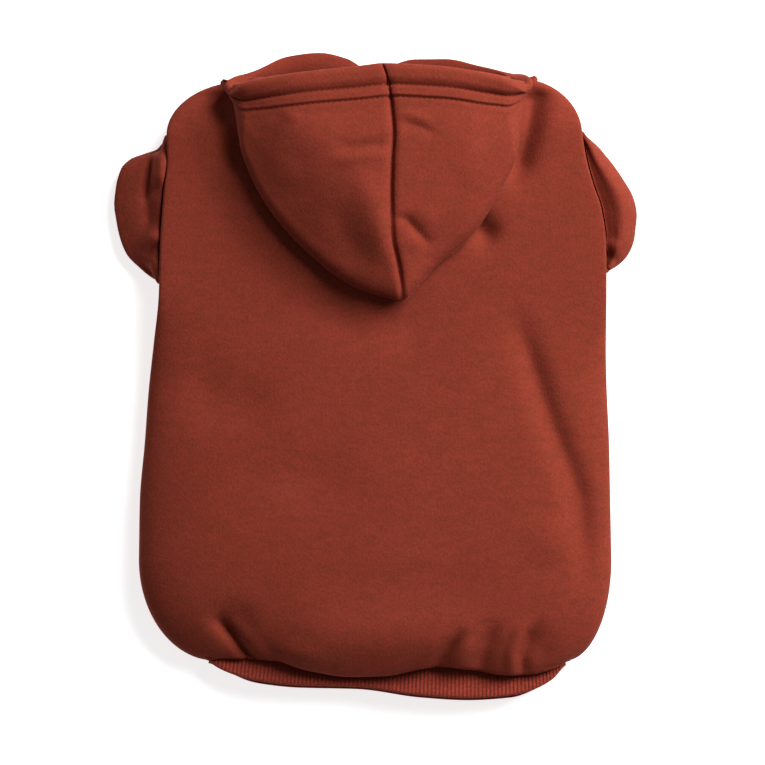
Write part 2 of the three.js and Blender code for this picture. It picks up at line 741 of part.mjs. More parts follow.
const hoodie = new THREE.Group();
for (const [name, [geometry, material]] of Object.entries(pieces)) {
  const mesh = new THREE.Mesh(geometry, material);
  mesh.name = name;
  hoodie.add(mesh);
}

// The origin is the middle of the whole garment, on the ground under it.
const box = new THREE.Box3().setFromObject(hoodie);
const middle = box.getCenter(new THREE.Vector3());
hoodie.position.set(-middle.x, -middle.y, -box.min.z);

export default hoodie;
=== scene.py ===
# %% [markdown]
# # A dog's fleece hoodie, lying flat
# The hood lies folded back over the back, the short sleeves are tucked under the sides and the
# ribbed waistband peeps out below the body. Each piece is a thin wall of cloth: a middle surface,
# given by a formula over two parameters, with the cloth's thickness on both sides. The solids with
# the collision shape are loaded first, because the cloth has to lie where they lie.

# %% Load the frame
import math

import bpy
import numpy as np
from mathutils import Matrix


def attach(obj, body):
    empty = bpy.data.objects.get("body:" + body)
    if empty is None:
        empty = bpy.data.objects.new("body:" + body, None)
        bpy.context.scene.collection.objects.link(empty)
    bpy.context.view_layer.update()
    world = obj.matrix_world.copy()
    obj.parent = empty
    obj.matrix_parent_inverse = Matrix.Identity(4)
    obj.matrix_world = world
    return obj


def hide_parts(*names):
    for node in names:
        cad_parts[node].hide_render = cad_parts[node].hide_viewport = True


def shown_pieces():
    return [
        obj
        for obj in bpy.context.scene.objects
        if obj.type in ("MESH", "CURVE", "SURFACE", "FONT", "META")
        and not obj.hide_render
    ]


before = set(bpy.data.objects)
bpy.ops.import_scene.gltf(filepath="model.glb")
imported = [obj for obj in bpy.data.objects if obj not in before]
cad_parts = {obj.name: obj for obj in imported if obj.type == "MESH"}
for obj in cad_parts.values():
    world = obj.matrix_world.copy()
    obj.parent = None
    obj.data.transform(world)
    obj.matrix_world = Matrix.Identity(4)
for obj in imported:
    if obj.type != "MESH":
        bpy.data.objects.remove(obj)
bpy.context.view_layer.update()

# %% [markdown]
# ## Sizes
# The sizes are in millimetres, measured from the lip over the waistband to the back of the neck and
# from the middle line outwards. They start from the sizes of the solids. The waist, the lip and
# the hood's top are moved by a few millimetres, as soft cloth sinks and bulges. Only the last
# step turns millimetres into metres.

# %% Sizes of the garment
MM = 0.001
OFFSET = np.array([-0.946, -164.1746, 0.0])  # moves the garment's zero to the solids' own zero
BODY_WIDTH, BACK_LENGTH, PUFF, EDGE_HEIGHT = 258.0, 321.0, 26.0, 10.0
FLEECE, SEAM_GAP = 2.4, 0.3
WAIST_START, NECK_START, SEAM_ACROSS = 64.0, 24.0, 0.62
WAIST_LEFT, WAIST_RIGHT, WAIST_OFFSET, WAIST_FOLD = 100.1, 98.4, 9.0, 0.35
WAIST_SIDE, WAIST_EDGE = 8.6, 1.0
LIP_RADIUS, LIP_TUCK, LIP_HEIGHT, LIP_LEAN, LIP_TURNED = 4.2, 6.0, 23.5, 0.55, 0.62
BAND_CLOTH, BAND_LEFT, BAND_RIGHT, BAND_OFFSET = 3.0, 98.2, 97.2, 7.3
BAND_HEIGHT, BAND_FOLD, BAND_SAG, BAND_UNDER = 17.5, 0.56, 11.4, 2.4
NECK_WIDTH, NECK_RISE, NECK_SIDE_HEIGHT = 173.0, 22.0, 11.0
NECK_LEFT_RUN, NECK_RIGHT_RUN, THROAT_RUN = 6.5, 8.5, -5.0
HOOD_WIDTH, HOOD_OFFSET, HOOD_DEPTH = 166.0, 2.75, 116.0
HOOD_AIR, HOOD_CLEAR, HOOD_SLOPE, SEAM_DIP = 4.5, 1.0, 0.42, 1.2
SLOPE_RUN, SLOPE_EASE, ROUND_OFF = 24.0, 26.0, 1.5
RIM_HEIGHT, HEM_WIDTH, HEM_EXTRA = 46.5, 18.7, 1.7
PINCH_WIDTH, PINCH_THICK, PINCH_DEEP, PINCH_GAP = 1.0, 1.4, 2.9, 0.01
SLEEVE_THICK, SLEEVE_CLEAR, CUFF_TUCK = 10.0, 0.7, 54.0
ARMHOLE_GAP, ARMHOLE_TOP, ARMHOLE_FOOT = 0.9, 3.0, 33.0
LIFT_LEFT, LIFT_RIGHT, LIFT_FADE, LIFT_END = 4.8, 2.16, 32.0, 298.0
SLEEVE_STACK = SLEEVE_THICK + SLEEVE_CLEAR
print("flat width", BODY_WIDTH, "mm, back", BACK_LENGTH, "mm")


# %% A smooth reader for tables
def smooth_table(columns, rows):
    """Reads a column between the rows by a cubic that passes through each row and doesn't swing
    past it: its slope there is the harmonic mean of the slopes before and after."""
    data = np.array(rows, dtype=float)
    keys = data[:, 0]

    def read(column, at):
        values = data[:, columns.index(column)]
        secant = np.diff(values) / np.diff(keys)
        before, after = secant[:-1], secant[1:]
        total = np.where(before * after > 0, before + after, 1.0)
        inner = np.where(before * after > 0, 2 * before * after / total, 0.0)
        slopes = np.concatenate([secant[:1], inner, secant[-1:]])
        place = np.clip(at, keys[0], keys[-1])
        i = np.clip(np.searchsorted(keys, place), 1, len(keys) - 1)
        span = keys[i] - keys[i - 1]
        t = (place - keys[i - 1]) / span
        rise = values[i] - values[i - 1]
        m0, m1 = slopes[i - 1] * span, slopes[i] * span
        curve = (m0 + m1 - 2 * rise) * t**3 + (3 * rise - 2 * m0 - m1) * t**2
        return values[i - 1] + m0 * t + curve

    return read


def smoothstep(x, low, high):
    """0 below low, 1 above high, and between them 3t^2 - 2t^3."""
    t = np.clip((x - low) / (high - low), 0, 1)
    return t * t * (3 - 2 * t)


def mix(a, b, t):
    """The value a share t of the way from a to b."""
    return a + (b - a) * t


# %% [markdown]
# ## Sections of the body
# Laid flat, a knitted tube is a wide, low loop with tight round sides. A superellipse has that
# shape, and one power sets how square it is. The table gives the half widths, the height of the
# back and how far the tucked sleeves lift the edges.

# %% Tables of the body, the lip and the waistband
body = smooth_table(["along", "left", "right", "top", "lift"], [
    [0.2, 1.003, 1.013, 1.19, 0], [0.3, 0.999, 1.008, 1.12, 0], [0.4, 0.978, 1.003, 1.04, 0],
    [0.49, 0.961, 0.993, 0.97, 0.04], [0.57, 0.938, 0.988, 0.91, 0.4],
    [0.655, 0.914, 0.988, 0.85, 0.97], [0.74, 0.909, 0.986, 0.83, 1], [0.8, 0.899, 0.966, 0.83, 1],
    [0.84, 0.891, 0.932, 0.83, 1], [0.885, 0.879, 0.902, 0.84, 1], [0.925, 0.881, 0.885, 0.87, 1],
])
lip = smooth_table(["across", "short"], [
    [-0.72, 1.0], [-0.604, 1.08], [-0.52, 1.08], [-0.41, 1.0], [-0.33, 0.6], [-0.26, 0.34],
    [-0.1, 0], [0.05, 0.06], [0.2, 0.5], [0.28, 0.62], [0.41, 0.43], [0.54, 0.12], [0.62, 0.06],
    [0.73, 0.31], [0.86, 1.0],
])
band_hang = smooth_table(["across", "hang"], [
    [-1.0, -0.72], [-0.95, -0.42], [-0.87, -0.12], [-0.76, 0.16], [-0.5, 0.42], [-0.17, 0.49],
    [0.19, 0.9], [0.46, 1.03], [0.7, 0.9], [0.84, 0.58], [0.94, 0.1], [1.0, -0.5],
])
gathers = [  # across, lean, width and length as shares, and the depth
    (-0.58, -0.1, 0.045, 0.13, 1.9),
    (-0.36, -0.03, 0.05, 0.07, 0.8),
    (0.3, 0.04, 0.04, 0.1, 1.6),
    (0.46, 0.03, 0.04, 0.12, 1.4),
    (0.64, 0.02, 0.035, 0.12, 1.1),
]
print("half width at mid back:", body("left", 0.5) * BODY_WIDTH / 2, "mm")


# %% Flat loops of cloth
def round_section(angle):
    """Share across and share of height round a superellipse: cos and sin of the angle, each to
    the power 2/n, with n 3 above and 4 below, where the ground also presses it flat."""
    cosine, sine = np.cos(angle), np.sin(angle)
    above = sine >= 0
    power = np.where(above, 2 / 3, 2 / 4)
    across = np.sign(cosine) * np.abs(cosine) ** power
    high = np.abs(sine) ** power
    return above, across, np.where(above, high, np.minimum(1, 1.03 * high))


def angle_at(across, above):
    """The angle at which the loop reaches a share across."""
    cosine = np.sign(across) * np.abs(across) ** np.where(above, 1.5, 2.0)
    return np.where(above, 1, -1) * np.arccos(np.clip(cosine, -1, 1))


def section_point(angle, left, right, middle, top, side, foot, y):
    """A point of a loop: x = middle + across times the half width on that side, and z between
    the height of the side fold and the height of the top or the foot."""
    above, across, high = round_section(angle)
    x = middle + across * np.where(across < 0, left, right)
    z = side + high * (np.where(above, top, foot) - side)
    return np.stack(np.broadcast_arrays(x, y, z), -1)


def half_widths(along):
    """Left and right half widths of the body's middle surface at a share along the back."""
    return (body(side, along) * BODY_WIDTH / 2 - FLEECE / 2 for side in ("left", "right"))


def body_section(angle, along, y):
    """The body's loop at a share along the back, its edges lifted where the sleeves lie."""
    _, across, _ = round_section(angle)
    lift = body("lift", along) * SLEEVE_STACK
    foot = FLEECE / 2 + lift * smoothstep(np.abs(across), 0.34, 0.515)
    left, right = half_widths(along)
    top = body("top", along) * PUFF
    return section_point(angle, left, right, 0, top, EDGE_HEIGHT + lift, foot, y)


def gather_dip(x, y):
    """Depth of the gathers above the lip: a bell across each, fading up the back."""
    dip = 0
    for across, lean, width, length, depth in gathers:
        up = np.clip(y / (length * BACK_LENGTH), 0, 1)
        off = (x / (BODY_WIDTH / 2) - across - lean * up) / width
        dip = dip + depth * (1 - up) ** 1.5 * np.exp(-off * off)
    return dip


def drawn_in(share, across, end):
    """How far a drawn-in end has come: a quarter ellipse at the sides, even over the middle."""
    ellipse = (1 - np.sqrt(1 - (end * share) ** 2)) / (1 - math.sqrt(1 - end**2))
    return mix(share**2, ellipse, across**4)


# %% [markdown]
# ## The tube of the body
# One tube makes the back and the belly. It is drawn in at the waist, where the back bulges over
# the waistband in a lip and is turned in under it, and at the neck. One parameter is the angle
# round the tube. The other is a stage: 0 to 1 the turned lip, 1 to 2 the waist, 2 to 3 the body
# and 3 to 4 the neck.

# %% The tube's four stretches
def facing_up(angle):
    """0 on the underside and at the side folds, 1 on the upper side."""
    return smoothstep(np.sin(angle), 0, 0.5)


def waist_run(angle, share):
    """From the last full loop (0) to the start of the lip's fold (1)."""
    start = body_section(angle, WAIST_START / BACK_LENGTH, WAIST_START)
    end = section_point(angle, WAIST_LEFT, WAIST_RIGHT, WAIST_OFFSET, LIP_HEIGHT,
                        LIP_HEIGHT * WAIST_FOLD, FLEECE / 2, 0)
    _, across, _ = round_section(angle)
    over = facing_up(angle)
    short = lip("short", end[..., 0] / (BODY_WIDTH / 2)) * WAIST_SIDE
    ahead = LIP_RADIUS * (1 - math.sin(LIP_LEAN))
    last = mix(WAIST_SIDE + WAIST_EDGE, short + ahead + FLEECE / 2, over)
    x = mix(start[..., 0], end[..., 0], drawn_in(share, across, 0.995))
    y = mix(WAIST_START, last, share)
    power = mix(3, mix(3.5, 5, smoothstep(across, -0.6, -0.1)), over)
    z = mix(start[..., 2], end[..., 2], share**power) - over * gather_dip(x, y)
    return np.stack([x, y, z], -1)


def lip_fold(angle, share):
    """The lip: from its lean on, the rest of half a turn about its radius, then the cloth turned
    in under it."""
    point = waist_run(angle, np.ones_like(share))
    above, _, high = round_section(angle)
    curl = np.where(above, high, 0)
    over = smoothstep(curl, 0.15, 0.85)
    turn = mix(LIP_LEAN, np.pi, np.minimum(1, share / LIP_TURNED))
    tuck = LIP_TUCK * np.maximum(0, (share - LIP_TURNED) / (1 - LIP_TURNED))
    dip = np.where(above, gather_dip(point[..., 0], point[..., 1]), 0)
    radius = LIP_RADIUS - dip / 2
    out = radius * (np.sin(turn) - math.sin(LIP_LEAN))
    point[..., 1] += mix(-WAIST_EDGE * share, tuck - out, over)
    point[..., 2] -= curl * radius * (math.cos(LIP_LEAN) - np.cos(turn))
    return point


def neck_run(angle, share):
    """From the shoulders (0) to the neck seam (1), with a short straight collar at its end."""
    start_y = BACK_LENGTH - NECK_START
    start = body_section(angle, start_y / BACK_LENGTH, start_y)
    end = section_point(angle, NECK_WIDTH / 2, NECK_WIDTH / 2, HOOD_OFFSET, NECK_RISE,
                        NECK_SIDE_HEIGHT, FLEECE / 2, 0)
    above, across, _ = round_section(angle)
    side_run = np.where(across > 0, NECK_RIGHT_RUN, NECK_LEFT_RUN)
    seam = BACK_LENGTH + mix(np.where(above, 0, THROAT_RUN), side_run, across**4)
    x = mix(start[..., 0], end[..., 0], drawn_in(np.minimum(1, share / 0.9), across, 0.96))
    y = mix(start_y, seam, share)
    z = mix(start[..., 2], end[..., 2], smoothstep(share, 0, 0.94))
    return np.stack([x, y, z], -1)


def torso(angle, stage):
    """The whole tube: each point comes from the stretch that its stage lies in."""
    angle, stage = np.broadcast_arrays(np.asarray(angle, float), np.asarray(stage, float))
    y = mix(WAIST_START, BACK_LENGTH - NECK_START, np.clip(stage - 2, 0, 1))
    full = body_section(angle, y / BACK_LENGTH, y)
    full[..., 2] -= np.where(np.sin(angle) > 0, gather_dip(full[..., 0], y), 0)
    low, high = stage[..., None] < 2, stage[..., None] > 3
    point = np.where(high, neck_run(angle, np.clip(stage - 3, 0, 1.02)), full)
    point = np.where(low, waist_run(angle, np.clip(2 - stage, 0, 1)), point)
    return np.where(stage[..., None] < 1, lip_fold(angle, np.clip(1 - stage, 0, 1.02)), point)


def stage_at(y):
    """The stage of the body's own stretch at a place along it."""
    return 2 + (y - WAIST_START) / (BACK_LENGTH - NECK_START - WAIST_START)


hood_turns = [0, 0.2, 0.4, 0.6, 0.8, 1, 1.15, 1.3, 1.5, 1.7, 1.85, 2]
rim_rise = [1, 1, 1, 1, 0.95, 0.74, 0.6, 0.44, 0.28, 0.21, 0.16, 0.11]
hood_lines = {
    -1: {
        "rimAcross": [0.02, -0.19, -0.424, -0.656, -0.888, -1, -0.94, -0.815, -0.603, -0.391, -0.225, -0.06],
        "rimAlong": [0.116, 0.097, 0.08, 0.059, 0.024, -0.008, 0.038, 0.094, 0.168, 0.187, 0.163, 0.086],
        "foldAcross": [0.146, -0.17, -0.5, -0.765, -0.921, -1] + [-0.98] * 6,
        "foldAlong": [0.992, 0.915, 0.73, 0.495, 0.226, 0.012] + [0] * 6,
    },
    1: {
        "rimAcross": [0.02, 0.232, 0.431, 0.637, 0.828, 1, 0.955, 0.855, 0.656, 0.437, 0.239, -0.06],
        "rimAlong": [0.116, 0.109, 0.099, 0.078, 0.052, 0.002, 0.052, 0.086, 0.125, 0.158, 0.158, 0.086],
        "foldAcross": [0.146, 0.351, 0.603, 0.782, 0.914, 1] + [0.98] * 6,
        "foldAlong": [0.992, 0.833, 0.677, 0.478, 0.273, 0.027] + [0] * 6,
    },
}
hood = {
    side: smooth_table(["turn", "rise", *lines], list(zip(hood_turns, rim_rise, *lines.values())))
    for side, lines in hood_lines.items()
}


def hood_outline(side):
    """Places on the ground plan along which one half's cloth folds over, from tip to corner."""
    turn = np.linspace(0, 1, 25)
    return np.stack([
        HOOD_OFFSET + hood[side]("foldAcross", turn) * HOOD_WIDTH / 2,
        BACK_LENGTH - hood[side]("foldAlong", turn) * HOOD_DEPTH,
    ], -1)


def from_line(x, y, points):
    """Distance on the ground plan from the line through the points, and the share of the line's
    length at which its nearest place lies."""
    points = np.array(points, dtype=float)
    best = np.full(np.broadcast(x, y).shape, 1e9)
    place = np.zeros_like(best)
    steps = np.hypot(*np.diff(points, axis=0).T)
    before = np.concatenate([[0], np.cumsum(steps)])
    for (x0, y0), (x1, y1), length, start in zip(points[:-1], points[1:], steps, before):
        t = ((x - x0) * (x1 - x0) + (y - y0) * (y1 - y0)) / length**2
        t = np.clip(t, 0, 1)
        far = np.hypot(x - x0 - t * (x1 - x0), y - y0 - t * (y1 - y0))
        place = np.where(far < best, (start + t * length) / before[-1], place)
        best = np.minimum(best, far)
    return best, place


def from_outline(x, y):
    """Distance on the ground plan from the hood's outline, and whether a place is inside it."""
    left, right = hood_outline(-1), hood_outline(1)
    far = np.minimum(from_line(x, y, left)[0], from_line(x, y, right)[0])
    inside = (x > np.interp(y, *left.T[::-1])) & (x < np.interp(y, *right.T[::-1]))
    return far, inside & (y > left[0, 1])


def lifted(x, y):
    """Height to which the bunched neck lifts the back under the hood, fading outside it."""
    far, inside = from_outline(x, y)
    share = smoothstep(np.where(inside, far, -far), 4 - LIFT_FADE, 4)
    height = mix(LIFT_LEFT, LIFT_RIGHT, smoothstep(x, -10, 40))
    return height * share * (1 - smoothstep(y, LIFT_END, LIFT_END + 22))


def back_height(x, y):
    """Height of the back's middle surface over a place: the superellipse solved for z, and the
    lift under the hood."""
    along = np.minimum(y, BACK_LENGTH - NECK_START) / BACK_LENGTH
    left, right = half_widths(along)
    across = np.clip(x / np.where(x < 0, left, right), -0.97, 0.97)
    side = EDGE_HEIGHT + body("lift", along) * SLEEVE_STACK
    high = (1 - np.abs(across) ** 3) ** (1 / 3)
    return side + high * (body("top", along) * PUFF - side) + lifted(x, y)


print("height of the back at its middle:", back_height(np.array(0.0), np.array(160.0)), "mm")


# %% [markdown]
# ## Folds and dents
# Cloth at rest is never even. Each fold is a line on the ground plan with a width and a height: it
# raises or lowers the cloth over it by a bell curve that fades towards the line's two ends. The
# lines were placed one by one.

# %% A fold along a line
def fold(x, y, points, width, height, fade=0.4):
    """Height of a bell across the line through the points: height times exp(-(d/width)^2),
    where d is the distance from the line, faded over a share of the line at both ends."""
    far, place = from_line(x, y, points)
    ends = smoothstep(place, 0, fade) * smoothstep(1 - place, 0, fade)
    return height * np.exp(-((far / width) ** 2)) * ends


def folds(x, y, rows):
    """The sum of several folds, each a row of points, width and height, and fade if not 0.4."""
    return sum(fold(x, y, *row) for row in rows)


back_folds = [
    ([(-89, 36), (-79, 25), (-72.5, 17), (-66, 9), (-60, 2)], 3.6, -5.8, 0.35),
    ([(-95, 30), (-80, 33), (-60, 30)], 8.0, -2.2),
    ([(-74, 11), (-62, 8), (-48, 8)], 3.4, -2.2),
    ([(-60, 17), (-40, 13), (-20, 10)], 6.0, 1.6),
    ([(50, 30), (44, 20), (38, 13), (31, 5), (24, -2)], 3.2, -4.4),
    ([(54, 24), (47, 12), (41, 2)], 4.5, 1.2),
    ([(68, 34), (62, 20), (57, 9), (52, -2)], 5.5, -3.2),
    ([(75.5, -6), (75.5, 14), (80, 27), (88, 36)], 3.0, 2.4),
    ([(80, -8), (80.5, 12), (85, 23), (96, 34)], 4.0, -3.0),
    ([(98, 8), (90, 16), (88, 28)], 7.0, -1.6),
    ([(-66, 28), (-20, 22), (30, 22), (76, 30)], 18.0, 3.6, 0.35),
    ([(69, 212), (80, 190), (86, 172), (96, 141), (107, 113), (112, 98), (114, 70), (115, 40)],
     7.2, -4.8, 0.3),
    ([(92, 92), (98, 60)], 12.0, 1.6),
    ([(-110, 176), (-85, 150), (-45, 150)], 16.0, -2.8),
    ([(-100, 96), (-50, 110), (10, 100)], 16.0, -1.6),
    ([(50, 256), (60, 244), (69, 235)], 7.5, -6.5),
    ([(-44, 222), (-14, 200), (16, 196), (40, 214)], 13.0, -3.0, 0.35),
    ([(-96, 338), (-86, 318), (-79, 296), (-70, 272)], 9.0, -5.0, 0.3),
    ([(93, 338), (87, 318), (84, 300), (79, 282), (70, 264)], 8.0, -9.0, 0.3),
]
hood_folds = [
    ([(12, 285), (-5, 284), (-24, 279.5)], 2.8, 1.5, 0.3),
    ([(12, 290), (-3, 289), (-24, 287)], 4.0, -1.8, 0.3),
    ([(9, 252), (18, 249.5), (27, 240), (33, 235)], 2.4, -2.4, 0.3),
    ([(14, 242), (26, 233)], 4.5, 1.2),
    ([(22, 257), (34, 247)], 5.0, 1.0),
    ([(12, 307), (23, 305), (34, 300)], 2.4, 1.2, 0.3),
    ([(12, 302), (24, 300), (36, 295)], 3.0, -1.2, 0.3),
    ([(-14, 284), (-3, 262), (3, 245), (10, 220)], 8.0, 2.0),
    ([(-22, 262), (-14, 240), (0, 222)], 7.0, -1.4),
    ([(-52, 308), (-38, 303)], 3.0, 1.0),
    ([(-56, 300), (-50, 280), (-42, 262)], 9.0, 1.4),
    ([(52, 300), (54, 284), (48, 264)], 9.0, 1.2),
]
print(len(back_folds), "folds on the back,", len(hood_folds), "on the hood")


# %% [markdown]
# ## From a formula to a mesh of cloth
# A mesh of cloth is two grids of points, its face and its back, joined round their edges. It is
# built from whole arrays, and its UV map holds the lengths along the cloth in metres, so that a
# knit drawn on the UV map follows every fold at its real size.

# %% Normals, lengths and the closed wall
def to_metres(points):
    """From the garment's millimetres to the frame's metres, about the middle of the solids. What
    would be below the ground is pressed flat on it."""
    points = points + OFFSET
    points[..., 2] = np.maximum(points[..., 2], 0)
    return points * MM


def normals_of(grid, ring):
    """Unit normals of a grid of points: the cross product of the two central differences."""
    across = np.gradient(grid, axis=1)
    if ring:
        across = (np.roll(grid, -1, 1) - np.roll(grid, 1, 1)) / 2
    normal = np.cross(np.gradient(grid, axis=0), across)
    return normal / np.maximum(np.linalg.norm(normal, axis=2, keepdims=True), 1e-12)


def run_of(line):
    """Length along a line of points up to each point."""
    return np.concatenate([[0], np.cumsum(np.linalg.norm(np.diff(line, axis=0), axis=1))])


def at_run(at, run, values):
    """Points or vectors of a line at lengths along it."""
    return np.stack([np.interp(at, run, column) for column in values.T], -1)


def strip(one, other):
    """Quads between two rows of point numbers, or between two stacks of rows."""
    quads = np.stack([one[..., :-1], one[..., 1:], other[..., 1:], other[..., :-1]], -1)
    return quads.reshape(-1, 4)


def wall_faces(rows, wide, ring):
    """Quads of a closed wall between two grids, as numbers into the stacked grids: the face, the
    back and the strips along their open edges."""
    face = np.arange(rows * wide).reshape(rows, wide)
    back = face + rows * wide
    both = np.stack([face, back], -1)
    faces = [strip(face[:-1], face[1:]), strip(back[:, :-1].T, back[:, 1:].T),
             strip(both[0, :-1], both[0, 1:]), strip(face[-1], back[-1])]
    if not ring:
        faces += [strip(face[:, 0], back[:, 0]), strip(both[:-1, -1], both[1:, -1])]
    return np.concatenate(faces)


def make_mesh(name, points, corners, uv=None):
    """A mesh object from points, quads of point numbers and a UV pair for each corner. If the
    closed body's signed volume comes out negative, its faces are turned round."""
    a, b, c, d = (points[corners[:, n]] for n in range(4))
    volume = np.einsum("ij,ij->", a, np.cross(b, c)) + np.einsum("ij,ij->", a, np.cross(c, d))
    if volume < 0:
        corners = corners[:, ::-1]
        uv = None if uv is None else uv[:, ::-1]
    mesh = bpy.data.meshes.new(name)
    mesh.vertices.add(len(points))
    mesh.vertices.foreach_set("co", points.astype(np.float32).ravel())
    mesh.loops.add(corners.size)
    mesh.loops.foreach_set("vertex_index", corners.astype(np.int32).ravel())
    mesh.polygons.add(len(corners))
    mesh.polygons.foreach_set("loop_start", np.arange(0, corners.size, 4, dtype=np.int32))
    mesh.update(calc_edges=True)
    mesh.polygons.foreach_set("use_smooth", np.ones(len(corners), dtype=bool))
    if uv is not None:
        mesh.uv_layers.new(name="cloth").data.foreach_set("uv", uv.astype(np.float32).ravel())
    mesh.validate()
    piece = bpy.data.objects.new(name, mesh)
    bpy.context.collection.objects.link(piece)
    return piece


EDGE_ROUND = [0.35, 0.75, 0.95]  # thickness shares of the first and the last rows of a cloth


def cloth(name, node, middle, thickness, ring=False, outer=0):
    """Cloth about a grid of middle points (rows along, columns across). The face lies half the
    thickness plus outer along the normal, and the back half the thickness the other way. The piece
    rides on the one body and hides the solid that it stands for."""
    rows, columns = middle.shape[:2]
    share = np.ones((rows, 1, 1))
    share[:3, 0, 0], share[-3:, 0, 0] = EDGE_ROUND, EDGE_ROUND[::-1]
    normal = normals_of(middle, ring)
    half = np.broadcast_to(thickness, (rows, columns))[..., None] / 2 * share
    bulge = np.broadcast_to(outer, (rows, columns))[..., None] * share
    face, back = middle + normal * (half + bulge), middle - normal * half
    wide = columns + ring
    corners = wall_faces(rows, wide, ring)
    closed = np.concatenate([middle, middle[:, :1]], 1) if ring else middle
    step_u = np.linalg.norm(np.diff(closed, axis=1), axis=2)
    step_v = np.linalg.norm(np.diff(closed, axis=0), axis=2)
    u = np.cumsum(np.pad(step_u, ((0, 0), (1, 0))), 1)
    v = np.cumsum(np.pad(step_v, ((1, 0), (0, 0))), 0)
    uv = np.stack([u - u.mean(1, keepdims=True), v], -1).reshape(-1, 2) * MM
    uv = np.concatenate([uv, uv])[corners]
    layer, rest = np.divmod(corners, rows * wide)
    row, column = np.divmod(rest, wide)
    corners = layer * rows * columns + row * columns + column % columns
    points = to_metres(np.concatenate([face.reshape(-1, 3), back.reshape(-1, 3)]))
    piece = make_mesh(name, points, corners, uv)
    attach(piece, "root")
    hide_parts(node)
    return face


# %% [markdown]
# ## The back
# The back panel wraps round both side folds to the belly seams underneath, and runs from the cloth
# turned in under the lip to the neck seam. Columns crowd at the side folds and rows at the lip.
# The folds are added to the upper half of the tube only.

# %% Back panel
seam_angle = float(angle_at(np.array(SEAM_ACROSS), np.array(False)))
SIDE_CROWD = 18  # millimetres of arc that count for one radian of bend


def torso_grid(angles, stages):
    """The tube on a grid, with the folds added where the cloth faces up."""
    stage, angle = np.meshgrid(stages, angles, indexing="ij")
    point = torso(angle, stage)
    up = smoothstep(np.sin(angle), 0.05, 0.5)
    x, y = point[..., 0], point[..., 1]
    keep = smoothstep(stage, 0.55, 1.0) * (1 - smoothstep(stage, 3.7, 4.0))
    point[..., 2] += (folds(x, y, back_folds) + lifted(x, y)) * up * keep
    return point


def panel_angles():
    """Angles round the back: evenly along the arc of a middle section, denser at the sides."""
    seam = seam_angle + SEAM_GAP / NECK_WIDTH
    fine = np.linspace(seam, np.pi - seam, 4001)
    along = np.diff(body_section(fine, 0.5, 160.0), axis=0)
    step = np.linalg.norm(along, axis=1)
    bend = np.abs(np.gradient(np.unwrap(np.arctan2(along[:, 2], along[:, 0]))))
    weight = np.concatenate([[0], np.cumsum(step + SIDE_CROWD * bend)])
    return np.interp(np.linspace(0, weight[-1], 231), weight, fine)


back_stages = np.concatenate([
    np.linspace(0, 1, 26)[:-1], np.linspace(1, 2, 50)[:-1],
    np.linspace(2, 3, 96)[:-1], np.linspace(3, 4, 22),
])
back_grid = torso_grid(panel_angles(), back_stages)
cloth("back", "back_panel", back_grid, FLEECE)

# %% [markdown]
# ## The belly
# The belly panel is the narrower strip underneath, between the two side seams. It lies on the
# ground in the middle and is lifted over the tucked sleeves.

# %% Belly panel
belly_seam = seam_angle - SEAM_GAP / NECK_WIDTH
belly_angles = np.linspace(-np.pi - belly_seam, belly_seam, 91)
belly_stages = np.linspace(0, 4, 121)
cloth("belly", "belly_panel", torso_grid(belly_angles, belly_stages), FLEECE)

# %% [markdown]
# ## The hood
# The hood has two halves, joined along its middle. From the neck seam each line of its cloth turns
# up and back, runs down the back, folds over at the hood's outline and returns to the face
# opening. A smooth curve joins a few control points into such a line, and the tables say how they
# move from the centre seam (turn 0) over the corner (1) to the throat (2).

# %% Tables of the hood
seam_drift = smooth_table(["along", "shift"], [
    [200, 0], [212, 1.0], [225, 0.2], [240, -1.8], [262, -0.8], [280, 1.0], [300, 3.4],
    [315, 3.2], [326, 2.2], [336, -0.6],
])
print("seam drifts", seam_drift("shift", 300.0), "mm at along 300")


# %% Control points of the hood's lines
def unit(v):
    """The vectors at length 1."""
    return v / np.maximum(np.linalg.norm(v, axis=-1, keepdims=True), 1e-12)


